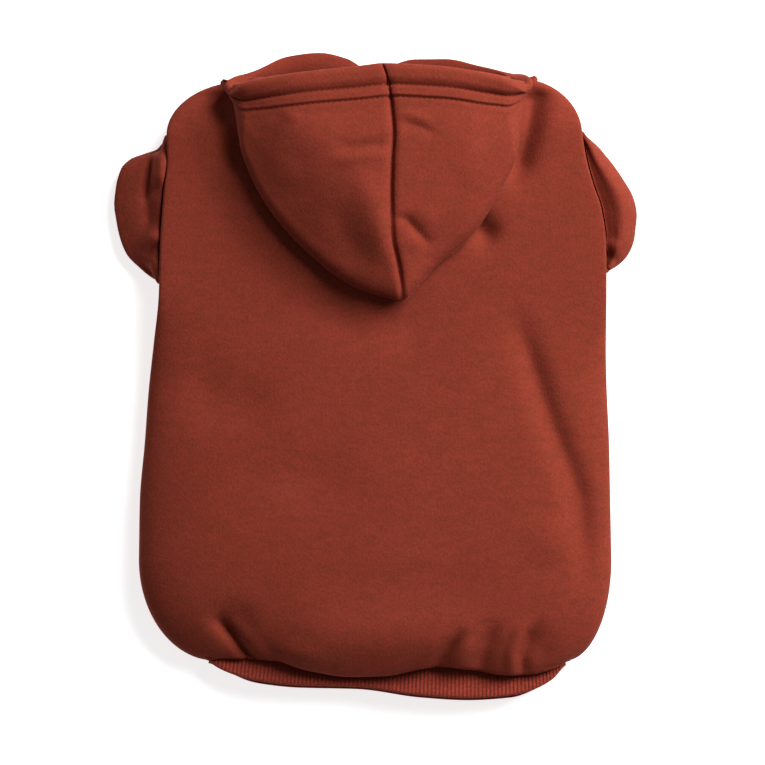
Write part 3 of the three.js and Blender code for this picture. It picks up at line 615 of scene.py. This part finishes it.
def hood_controls(side, turn):
    """Fourteen control points for each turn: seam, straight on, round the neck, along the back to
    the hood's outline, its fold, back over the top, and the rim. Near the corner they blend into
    the throat's short way to the rim, a cubic with a handle at either end."""
    def read(column):
        return hood[side](column, turn)

    across = side * np.where(turn < 1, turn, 2 - turn)
    angle = angle_at(across, turn < 1)
    neck = torso(angle, np.full_like(angle, 4.0))
    onward = unit(neck - torso(angle, np.full_like(angle, 3.97)))
    up = np.array([0.0, 0.0, 1.0])
    col = turn[:, None]
    onward = unit(mix(onward, up, 0.75 * np.exp(-(((col - 1) / 0.25) ** 2))))

    rim = np.stack([
        HOOD_OFFSET + read("rimAcross") * HOOD_WIDTH / 2,
        BACK_LENGTH + read("rimAlong") * HOOD_DEPTH,
        read("rise") * RIM_HEIGHT,
    ], -1)
    start = neck + onward * (SEAM_GAP * (1 + 3 * across**8))[:, None]
    throat = smoothstep(col, 1, 1.5)
    arrival = unit(np.concatenate([
        np.zeros_like(col), mix(-0.4, 1, throat), mix(0.9, -0.35, throat)], 1))
    reach = np.linalg.norm(rim - start, axis=1, keepdims=True)
    handle = mix(0.3, 0.35, smoothstep(np.abs(col - 1), 0, 0.3)) * reach
    t = np.linspace(0, 1, 14)[None, :, None]
    a, b, c, d = (v[:, None] for v in (
        start, start + onward * handle, rim - arrival * 0.35 * reach, rim))
    direct = (1 - t) ** 3 * a + 3 * (1 - t) ** 2 * t * b + 3 * (1 - t) * t * t * c + t**3 * d
    ahead = start + onward * 1.5
    direct[:, 1] = ahead

    def layer(p):
        return back_height(p[:, 0], p[:, 1]) + FLEECE + HOOD_CLEAR

    edge = np.stack([
        HOOD_OFFSET + read("foldAcross") * HOOD_WIDTH / 2,
        BACK_LENGTH - read("foldAlong") * HOOD_DEPTH,
        np.zeros_like(turn),
    ], -1)
    radius = (HOOD_AIR + FLEECE) / 2

    def on_line(end, share, back, height):
        p = mix(end, edge, share)
        flat = (end - edge) * np.array([1.0, 1.0, 0.0])
        p = p + unit(flat) * back
        p[:, 2] = layer(p) + height
        return p

    valley = SEAM_DIP * (1 - smoothstep(turn, 0, 0.05))
    long = np.linalg.norm(rim - edge, axis=1)
    hem = (HEM_WIDTH / np.maximum(HEM_WIDTH * 1.5, long))[:, None]

    def on_top(share, spare):
        p = mix(rim, edge, mix(hem, 1, share))
        far = from_outline(p[:, 0], p[:, 1])[0]
        easing = np.clip(far - SLOPE_RUN, 0, SLOPE_EASE)
        slope = HOOD_SLOPE * (np.minimum(far, SLOPE_RUN) + easing - easing**2 / (2 * SLOPE_EASE))
        high, most = layer(p) + 2 * radius + slope, rim[:, 2] + spare
        both = np.exp(-high / ROUND_OFF) + np.exp(-most / ROUND_OFF)
        p[:, 2] = -ROUND_OFF * np.log(both) - valley
        return p

    round_neck = ((layer(neck) - neck[:, 2]) / 2)[:, None]
    turned = ahead + onward * round_neck + up * round_neck
    top = edge.copy()
    top[:, 2] = layer(edge) + 0.85 * radius
    folded = np.stack([
        start, ahead, turned, on_line(neck, 0, 0, 0), on_line(neck, 0.5, 0, 0),
        on_line(neck, 1, radius, 0), top, on_line(rim, 1, radius, (1.75 + HOOD_SLOPE) * radius),
        on_top(0.85, 8), on_top(0.66, 8), on_top(0.45, 8), on_top(0.22, 7), on_top(0, 3.5),
        rim - up * (valley / 2)[:, None],
    ], 1)
    folding = smoothstep(1 - turn, 0, 0.22)[:, None, None]
    return mix(direct, folded, folding)


def smooth_line(points, at):
    """Places on smooth lines through control points (line, point, xyz), at positions counted in
    control points: a Catmull-Rom curve whose knots are spaced by the root of the distance."""
    first = 2 * points[:, :1] - points[:, 1:2]
    last = 2 * points[:, -1:] - points[:, -2:-1]
    p = np.concatenate([first, points, last], 1)
    gap = np.maximum(np.linalg.norm(np.diff(p, axis=1), axis=2) ** 0.5, 1e-3)[..., None]
    i = np.clip(np.floor(at).astype(int), 0, points.shape[1] - 2)
    t = (at - i)[None, :, None]
    p0, p1, p2, p3 = (p[:, i + n] for n in range(4))
    g0, g1, g2 = (gap[:, i + n] for n in range(3))
    m1 = ((p1 - p0) / g0 - (p2 - p0) / (g0 + g1) + (p2 - p1) / g1) * g1
    m2 = ((p2 - p1) / g1 - (p3 - p1) / (g1 + g2) + (p3 - p2) / g2) * g1
    a = 2 * p1 - 2 * p2 + m1 + m2
    b = 3 * p2 - 3 * p1 - 2 * m1 - m2
    return a * t**3 + b * t**2 + m1 * t + p1


# %% [markdown]
# ### Rows at real distances from the rim
# The hem of the face opening is a casing with two rows of stitches, so it needs rows of points at
# real distances from the rim. Each line is first drawn finely and then cut again by its length:
# dense rows within the hem, and even ones from there to the neck.

# %% Hood halves
ROW_ONE, ROW_TWO = 11.6, 18.4  # the two rows of stitches, from the rim
hem_rows = np.array([0, 0.25, 0.6, 1.1, 1.7, 2.4, 3.2, 4, 5, 6, 7, 8, 9, 9.7, 10.3, 10.8, 11.2,
                     11.6, 12, 12.4, 13, 14, 15, 16, 16.8, 17.3, 17.8, 18.1, 18.4, 18.7, 19.1,
                     19.7, 20.5, 21.5])


def recut(lines, share_rows, count):
    """Lines (line, point, xyz), rim first, cut again: rows at the hem's distances, squeezed on
    lines too short for them, then count even steps to the far end."""
    run = np.stack([run_of(line) for line in lines])
    total = run[:, -1:]
    hem = share_rows[None, :] * np.minimum(1, 0.8 * total / share_rows[-1])
    rest = mix(hem[:, -1:], total, (np.arange(1, count + 1) / count)[None, :])
    want = np.concatenate([hem, rest], 1)
    return np.stack([at_run(*row) for row in zip(want, run, lines)]), want


def relax(grid, turn, rounds=420):
    """Rounds the hood's corner: there, each point moves again and again half the way to the
    middle of its two neighbours round the opening, so that the cloth keeps no sharp turn."""
    share = smoothstep(turn, 0.74, 0.9) * (1 - smoothstep(turn, 1.2, 1.38))
    share = 0.5 * share[None, 1:-1, None]
    for _ in range(rounds):
        middle = (grid[:, :-2] + grid[:, 2:]) / 2
        grid[:-1, 1:-1] += (share * (middle - grid[:, 1:-1]))[:-1]
    return grid


def hood_grid(side):
    """The middle surface of one half, rows from the rim and columns from the centre seam."""
    gap = PINCH_GAP / HOOD_WIDTH
    near = gap + (np.linspace(0, 1, 26) ** 1.6) * (0.35 - gap)
    turn = np.concatenate([near[:-1], np.linspace(0.35, 0.7, 22)[:-1],
                           np.linspace(0.7, 1.4, 96)[:-1], np.linspace(1.4, 2 - gap, 36)])
    lines = smooth_line(hood_controls(side, turn), np.linspace(13, 0, 521))
    rows, run = recut(lines, hem_rows, 120)
    grid = relax(np.swapaxes(rows, 0, 1).copy(), turn)
    run = run.T
    x, y = grid[..., 0], grid[..., 1]
    top_layer = smoothstep(grid[..., 2] - back_height(x, y), 4.5, 8.0) * (turn < 1.0)
    beside = np.exp(-((turn / 0.3) ** 2))[None, :]
    grid[..., 0] += seam_drift("shift", y) * beside * top_layer
    grid[..., 2] += folds(x, y, hood_folds) * top_layer * smoothstep(run, 14, 24)
    return grid, run, turn, top_layer


def hem_profile(run):
    """Extra cloth on the hood's face over a distance from the rim: the padded casing as a bell
    of 1.9 mm, a deep groove under each stitch row, and the flat channel between them."""
    casing = 1.9 * np.exp(-(((run - 5.2) / 4.4) ** 4))
    channel = 0.9 * smoothstep(run, 11.8, 13.2) * (1 - smoothstep(run, 17.2, 18.2))
    groove = 1.1 * np.exp(-(((run - ROW_ONE) / 0.9) ** 2))
    groove = groove + 0.5 * np.exp(-(((run - ROW_TWO) / 0.6) ** 2))
    after = 0.4 * np.exp(-(((run - 20.5) / 2.0) ** 2))
    return casing + channel + after - groove


hood_faces = {}
for side, name, node in ((-1, "hood_l", "hood_left"), (1, "hood_r", "hood_right")):
    grid, run, turn, top_layer = hood_grid(side)
    thick = FLEECE + HEM_EXTRA * (1 - smoothstep(run, 17.5, 19.5))
    pinch = np.exp(-((turn * HOOD_WIDTH / 2 / PINCH_WIDTH) ** 2))[None, :] * top_layer
    thick = thick + PINCH_THICK * pinch
    bulge = hem_profile(run) - PINCH_DEEP * pinch
    order = slice(None) if side > 0 else slice(None, None, -1)
    face = cloth(name, node, grid[:, order], thick[:, order],
                 outer=bulge[:, order])
    hood_faces[side] = (face[:, order], turn)

# %% [markdown]
# ## The sleeves
# Each sleeve is a flat tube that leaves the armhole below the body's side fold, goes out past the
# edge, folds over and lies tucked under the body. Only the fold shows from above.

# %% Tables and lines of the sleeves
sleeves = {  # table column, middle along the back, width, bulge, sag, fullness, tilt of its top
    -1: ("left", 256.6, 82.0, 26.4, 6.0, 0.55, 5.0),
    1: ("right", 260.5, 78.0, 18.9, 1.0, 1.0, -0.6),
}
bulge_out = smooth_table(["share", "left", "right"], [
    [0, -0.02, -0.02], [0.04, 0.2, 0.31], [0.11, 0.44, 0.6], [0.2, 0.69, 0.77],
    [0.32, 0.84, 0.88], [0.43, 0.93, 0.98], [0.55, 1.0, 1.0], [0.67, 0.99, 0.88],
    [0.78, 0.94, 0.7], [0.84, 0.78, 0.56], [0.875, 0.5, 0.48], [0.905, 0.25, 0.39],
    [0.95, 0.13, 0.22], [1, -0.04, -0.02],
])


def torso_normals(angle, stage):
    """Outward unit normals of the tube by central differences."""
    e = 0.005
    along_a = torso(angle + 0.03, stage) - torso(angle - 0.03, stage)
    along_b = torso(angle, stage + e) - torso(angle, stage - e)
    return unit(np.cross(along_b, along_a))


def sleeve_controls(side, angle):
    """Nine control points for each angle round the sleeve: two off the armhole along the body's
    normal, two on the way out, the fold, and four on the way back under the body."""
    column, middle, width, bulge, sag, full, tilt = sleeves[side]
    cosine, sine = np.cos(angle), np.sin(angle)
    along = np.sign(cosine) * np.abs(cosine) ** 0.7
    high = np.sign(sine) * np.abs(sine) ** 0.6
    y = middle + along * (width - FLEECE) / 2
    edge = body(column, y / BACK_LENGTH) * BODY_WIDTH / 2
    foot = mix(ARMHOLE_TOP, ARMHOLE_FOOT, (1 - high) / 2)
    on_body = np.radians(180 + foot if side < 0 else -foot)
    seat = torso(on_body, stage_at(y))
    out = torso_normals(on_body, stage_at(y))
    half = (SLEEVE_THICK - FLEECE) / 2
    under_z = SLEEVE_THICK / 2
    out_z = SLEEVE_STACK + SLEEVE_THICK / 2 + SLEEVE_CLEAR - sag
    in_z, tip_z = out_z + tilt / 2, out_z - tilt / 2
    fold_z = mix(FLEECE / 2, under_z, full + 0.15 * (1 - full))
    fold_x = edge + bulge_out(column, (along + 1) / 2) * bulge
    back_x = fold_x - half - (out_z - under_z) / 2

    def at(x, z, out_x, out_share):
        return np.stack([side * (x + out_x * half * high), y, z + out_share * half * high], -1)

    return np.stack([
        seat + out * (FLEECE / 2 + ARMHOLE_GAP),
        seat + out * (FLEECE / 2 + ARMHOLE_GAP + 1),
        at(mix(edge, fold_x, 0.25), in_z, 0.3, 0.95 * full),
        at(np.maximum(back_x + 1, mix(edge, fold_x, 0.4)), tip_z, 0.2, full),
        at(fold_x - half, (out_z + fold_z) / 2, 1, 0),
        at(back_x + 1, fold_z, 0, -full),
        at(mix(back_x, edge - CUFF_TUCK, 0.4), under_z, 0, -1),
        at(mix(back_x, edge - CUFF_TUCK, 0.8), under_z, 0, -1),
        at(edge - CUFF_TUCK, under_z, 0, -1),
    ], 1)


sleeve_folds = {
    -1: [
        ([(-122.1, 289), (-123.2, 280), (-124.9, 271), (-126, 265), (-127, 258)], 3.2, -4.5, 0.25),
        ([(-118.3, 292), (-117.2, 280), (-117.2, 266)], 4.2, 4.0, 0.35),
        ([(-125, 262), (-123, 252), (-121, 244)], 6.0, -2.2),
        ([(-131, 233.5), (-124.3, 239.3), (-117, 244.5)], 2.8, 2.6, 0.35),
        ([(-128, 230), (-122, 234.5), (-116, 239)], 2.4, -1.8, 0.35),
        ([(-122.5, 232), (-120, 226), (-117.5, 219)], 2.2, 1.7, 0.35),
    ],
    1: [
        ([(112, 306), (118.4, 277), (124.7, 257), (127, 238), (127, 216)], 6.5, -3.0, 0.2),
        ([(126, 239), (135, 235)], 3.2, 1.8),
        ([(126, 232), (135, 228)], 3.4, -1.8),
    ],
}

# %% Sleeves
for side, name, node in ((-1, "sleeve_l", "sleeve_left"), (1, "sleeve_r", "sleeve_right")):
    around = np.linspace(0, 2 * np.pi, 181)[:-1]
    steps = np.concatenate([np.linspace(0, 5, 131)[:-1], np.linspace(5, 8, 41)])
    grid = np.swapaxes(smooth_line(sleeve_controls(side, around), steps), 0, 1)
    top = smoothstep(grid[..., 2], 11.0, 15.5) * (steps < 4.2)[:, None]
    grid[..., 2] += folds(grid[..., 0], grid[..., 1], sleeve_folds[side]) * top
    cloth(name, node, grid, FLEECE, ring=True)

# %% [markdown]
# ## The waistband
# The waistband is knitted one by one rib: a column of face stitches, then one of back stitches,
# about 2.2 mm for the pair. These round ridges show, so they are real geometry: a cosine round the
# loop moves the face of the cloth in and out.

# %% Waistband with its ribs
RIB_PITCH, RIB_HEIGHT, RIB_POINTS = 2.15, 0.55, 8


def band_line(angle, share):
    """The waistband's loop between the waist seam (0) and its free edge (1)."""
    above, across, _ = round_section(angle)
    inset = (FLEECE + BAND_CLOTH) / 2 + 2 * SEAM_GAP
    over = facing_up(angle)
    high = LIP_HEIGHT - (1 + math.cos(LIP_LEAN)) * LIP_RADIUS - inset
    start = section_point(angle, WAIST_LEFT - inset, WAIST_RIGHT - inset, WAIST_OFFSET, high,
                          high * BAND_FOLD, BAND_CLOTH / 2, 0)
    end = section_point(angle, BAND_LEFT, BAND_RIGHT, BAND_OFFSET, BAND_HEIGHT,
                        BAND_HEIGHT * BAND_FOLD, BAND_CLOTH / 2, 0)
    short = lip("short", start[..., 0] / (BODY_WIDTH / 2)) * WAIST_SIDE
    seam = mix(WAIST_SIDE - 5 * SEAM_GAP, short + LIP_RADIUS + FLEECE / 2 + LIP_TUCK - 1, over)
    under = np.where(above, 0, 1) * smoothstep(1 - np.abs(across), 0, 0.3)
    mouth = -BAND_SAG * band_hang("hang", across) - BAND_UNDER * under
    return np.stack([
        mix(start[..., 0], end[..., 0], share), mix(seam, mouth, share),
        mix(start[..., 2], end[..., 2], smoothstep(share, 0.3, 1.1)),
    ], -1)


fine = np.linspace(0, 2 * np.pi, 6001)
ring = band_line(fine, 0.8 * np.ones_like(fine))
run = run_of(ring)
ribs = round(run[-1] / RIB_PITCH)
count = ribs * RIB_POINTS
angles = np.interp(np.arange(count) / count * run[-1], run, fine)[::-1]
shares = np.array([0, 0.03, 0.07, 0.2, 0.35, 0.5, 0.62, 0.74, 0.84, 0.91, 0.96, 0.985, 1.0])
angle, share = np.meshgrid(angles, shares)
band_grid = band_line(angle, share)
wave = np.cos(np.arange(count) / RIB_POINTS * 2 * np.pi)[None, :]
ease = smoothstep(1 - shares, 0, 0.1)[:, None]
wave = wave * smoothstep(1 - np.abs(round_section(angles)[1]), 0, 0.03)
outer = (wave * RIB_HEIGHT / 2 + RIB_HEIGHT / 4) * (0.35 + 0.65 * ease)
cloth("band", "waistband", band_grid, BAND_CLOTH - RIB_HEIGHT,
      ring=True, outer=outer)
print(ribs, "ribs round the waistband")

# %% [markdown]
# ## Stitches of the casing
# Two parallel rows of coverstitch hold the hood's hem. Each stitch is a short thread that dips in
# at both ends. One small shape is worked out once and copied along the row as whole arrays, laid
# in the groove that the row pulls into the cloth.

# %% Rows of stitches
def threads(name, lines, pitch, length, radius, sink):
    """Stitches along lines (points, normals): each is a ring swept along half its length either
    way, swelling to its radius in the middle and sinking by a parabola at its ends."""
    t = np.linspace(-1, 1, 7)[:, None]
    swell = np.sqrt(np.maximum(0, 1 - (0.97 * t) ** 4)) * radius
    ring = np.linspace(0, 2 * np.pi, 7)[:-1]
    centres, forwards, ups = [], [], []
    for line, normal in lines:
        run = run_of(line)
        at = np.arange(pitch, run[-1] - pitch, pitch)
        centres.append(at_run(at, run, line))
        forwards.append(unit(at_run(at + 0.5, run, line) - centres[-1]))
        ups.append(unit(at_run(at, run, normal)))
    centre, forward, up = (np.concatenate(v) for v in (centres, forwards, ups))
    frames = np.stack([forward, unit(np.cross(forward, up)), up], 1)
    local = np.stack(np.broadcast_arrays(
        t * length / 2, swell * np.cos(ring), swell * np.sin(ring) - sink * t**2), -1)
    shape = centre[:, None, None] + np.einsum("pqk,nkc->npqc", local, frames)
    number, rows, columns = shape.shape[:3]
    numbers = np.arange(rows * columns).reshape(rows, columns)
    numbers = np.concatenate([numbers, numbers[:, :1]], 1)
    caps = np.array([[3, 2, 1, 0], [5, 4, 3, 0], [0, 1, 2, 3], [0, 3, 4, 5]])
    caps[2:] += (rows - 1) * columns
    quads = np.concatenate([strip(numbers[:-1], numbers[1:]), caps])
    corners = (np.arange(number)[:, None, None] * rows * columns + quads[None]).reshape(-1, 4)
    piece = make_mesh(name, to_metres(shape.reshape(-1, 3)), corners)
    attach(piece, "root")
    print(name, number, "stitches,", len(corners), "faces")


stitch_lines = []
for side, (face, turn) in hood_faces.items():
    normal = normals_of(face, False) * side
    for distance in (ROW_ONE, ROW_TWO):
        row = int(np.argmin(np.abs(hem_rows - distance)))
        for use in (turn < 0.93, (turn > 1.12) & (turn < 1.95)):
            stitch_lines.append((face[row][use], normal[row][use]))
threads("hem_stitches", stitch_lines, pitch=2.9, length=2.3, radius=0.32, sink=0.25)


# %% [markdown]
# ## Materials
# The cloth is a sweatshirt fleece: a fine jersey face, slightly heathered, with a bloom of loose
# fibres that catches light at grazing angles, which sheen gives. The jersey's wales, its columns
# of loops, are a bump of fine lines, 1.3 mm apart, since the real 0.9 mm is too fine to show.

# %% Colour and node helpers
def rgb(code):
    """A colour from an sRGB hex value, made linear and given an alpha of 1."""
    value = np.array([int(code[i:i + 2], 16) / 255 for i in (1, 3, 5)])
    linear = np.where(value <= 0.04045, value / 12.92, ((value + 0.055) / 1.055) ** 2.4)
    return (*linear.tolist(), 1.0)


def add(tree, kind, settings=None, **links):
    """Adds a shader node, sets its properties and sockets, and links its inputs. A link names an
    input, with spaces as underscores, and gives a value or another node's output."""
    node = tree.nodes.new("ShaderNode" + kind)
    for key, value in (settings or {}).items():
        setattr(node, key, value)
    for key, value in links.items():
        socket = node.inputs[int(key[1:])] if key[0] == "_" else node.inputs[key.replace("_", " ")]
        if isinstance(value, bpy.types.NodeSocket):
            tree.links.new(value, socket)
        else:
            socket.default_value = value
    return node


def empty_material(name):
    """A node material with nothing in it."""
    material = bpy.data.materials.new(name)
    material.use_nodes = True
    material.node_tree.nodes.clear()
    return material, material.node_tree


def skin(tree, **look):
    """The surface, on the material's output."""
    surface = add(tree, "BsdfPrincipled", **look)
    add(tree, "OutputMaterial", Surface=surface.outputs[0])


def noise(tree, place, scale, stretch=(1.0, 1.0, 1.0), detail=2.0, roughness=0.5):
    """Noise in a space stretched by the inverse of three factors."""
    where = add(tree, "Mapping", Vector=place, Scale=stretch).outputs[0]
    return add(tree, "TexNoise", Vector=where, Scale=scale, Detail=detail,
               Roughness=roughness).outputs["Fac"]


def ramp(tree, value, low, high, most):
    """0 where the value is low, going up to most where it is high."""
    return add(tree, "MapRange", Value=value, From_Min=low, From_Max=high, To_Min=0.0,
               To_Max=most).outputs[0]


def blend(tree, share, one, other):
    """One colour going over to the other by a share."""
    return add(tree, "MixRGB", Fac=share, Color1=one, Color2=other).outputs[0]


def waves(tree, place, along, scale, distortion):
    """Soft parallel bands across an axis."""
    return add(tree, "TexWave", {"bands_direction": along}, Vector=place, Scale=scale,
               Distortion=distortion, Detail=1.0).outputs["Fac"]


# %% Sweatshirt fleece
WAVE = 0.31416  # a wave texture repeats at this length over its scale
WALES = 1.3 * MM


def sweatshirt_fleece(name, deep, plain, light, rubbed):
    """Jersey-faced fleece: mottled dye, rubbed patches, heather flecks, faint streaks, wales
    across the cloth and fibre bloom."""
    material, tree = empty_material(name)
    solid = add(tree, "TexCoord").outputs["Object"]
    fleck = noise(tree, solid, 750.0, (1.0, 0.85, 1.0), roughness=0.7)
    streak = noise(tree, solid, 900.0, (1.0, 0.1, 0.4))
    patch = noise(tree, solid, 230.0, (0.5, 1.1, 1.0))
    tone = blend(tree, noise(tree, solid, 28.0, detail=3.0), rgb(plain), rgb(light))
    tone = blend(tree, ramp(tree, patch, 0.4, 0.65, 0.55), tone, rgb(rubbed))
    tone = blend(tree, ramp(tree, fleck, 0.35, 0.7, 0.4), tone, rgb(deep))
    tone = blend(tree, ramp(tree, streak, 0.45, 0.75, 0.1), tone, rgb(light))
    wales = waves(tree, solid, "X", WAVE / WALES, 1.2)
    height = add(tree, "Math", {"operation": "MULTIPLY_ADD"}, _0=wales, _1=0.05, _2=fleck)
    bump = add(tree, "Bump", Strength=0.55, Distance=0.0004, Height=height.outputs[0])
    skin(tree, Base_Color=tone, Roughness=0.92, IOR=1.45, Specular_IOR_Level=0.1,
         Sheen_Weight=0.22, Sheen_Roughness=0.3, Sheen_Tint=rgb("#d98a74"), Normal=bump.outputs[0])
    return material


# %% Rib knit and thread
def rib_knit(name, deep, plain):
    """Rib knit: the same dye and flecks, with a slow swell every 10 mm across the ribs."""
    material, tree = empty_material(name)
    uv = add(tree, "TexCoord").outputs["UV"]
    fleck = noise(tree, uv, 800.0)
    tone = blend(tree, ramp(tree, fleck, 0.3, 0.7, 0.6), rgb(plain), rgb(deep))
    swell = waves(tree, uv, "Y", 31.0, 2.0)
    height = add(tree, "Math", {"operation": "ADD"}, _0=swell, _1=fleck)
    bump = add(tree, "Bump", Strength=0.4, Distance=0.0003, Height=height.outputs[0])
    skin(tree, Base_Color=tone, Roughness=0.9, IOR=1.45, Specular_IOR_Level=0.2,
         Sheen_Weight=0.25, Sheen_Roughness=0.5, Sheen_Tint=rgb("#e07a5c"), Normal=bump.outputs[0])
    return material


def spun_thread(name, deep, plain):
    """Spun polyester thread: fine dark specks between its fibres, and a low gloss."""
    material, tree = empty_material(name)
    specks = noise(tree, add(tree, "TexCoord").outputs["Object"], 1500.0, detail=1.0)
    tone = blend(tree, specks, rgb(plain), rgb(deep))
    skin(tree, Base_Color=tone, Roughness=0.8, IOR=1.45, Specular_IOR_Level=0.1)
    return material


fleece_cloth = sweatshirt_fleece("sweatshirt fleece", "#561e15", "#7c2f22", "#8a3829", "#753220")
rib_cloth = rib_knit("rib knit", "#4f1a11", "#93392a")
thread = spun_thread("spun thread", "#4a180f", "#6a281b")
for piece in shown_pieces():
    finish = {"band": rib_cloth, "hem_stitches": thread}.get(piece.name, fleece_cloth)
    piece.data.materials.clear()
    piece.data.materials.append(finish)

# %% [markdown]
# ## Floor, light and camera
# The garment lies on a white sheet that also glows, so that the floor is pure white and its shadows
# stay pale while the cloth keeps its depth. One broad soft light from the upper right does most
# of the work. The camera looks straight down from far off.

# %% Stage
floor = make_mesh("floor", 3.0 * np.array([[-1, -1, 0], [1, -1, 0], [1, 1, 0], [-1, 1, 0]]),
                  np.array([[0, 1, 2, 3]]))
paper, tree = empty_material("light table")
skin(tree, Base_Color=(0.8, 0.8, 0.8, 1), Roughness=0.9, Emission_Color=(1, 1, 1, 1),
     Emission_Strength=0.75)
floor.data.materials.append(paper)

scene = bpy.context.scene
scene.world = world = scene.world or bpy.data.worlds.new("room")
world.use_nodes = True
background = world.node_tree.nodes["Background"].inputs
background["Color"].default_value, background["Strength"].default_value = (1, 1, 1, 1), 0.14
scene.view_settings.view_transform = "Standard"

key = bpy.data.lights.new("key", "AREA")
key.size, key.energy = 1.05, 46.0
lamp = bpy.data.objects.new("key", key)
lamp.location = (0.90, 0.84, 0.92)
lamp.rotation_euler = (-lamp.location).to_track_quat("-Z", "Y").to_euler()
bpy.context.collection.objects.link(lamp)

# %% Camera
FRAME_WIDTH = 420.75  # the picture's width in millimetres at the height of the outline
OUTLINE_HEIGHT, DISTANCE, SENSOR = 0.012, 2.2, 36.0
AIM = np.array([4.675, 161.425, 0.0])  # the picture's middle, in the garment's millimetres
view_data = bpy.data.cameras.new("overhead")
view_data.sensor_width = SENSOR
view_data.lens = SENSOR * (DISTANCE - OUTLINE_HEIGHT) / (FRAME_WIDTH * MM)
camera = bpy.data.objects.new("overhead", view_data)
middle = to_metres(AIM)
camera.location = (middle[0], middle[1], DISTANCE)
bpy.context.collection.objects.link(camera)
scene.camera = camera
print("camera over", [round(v, 4) for v in middle[:2]], "lens", round(view_data.lens, 1), "mm")
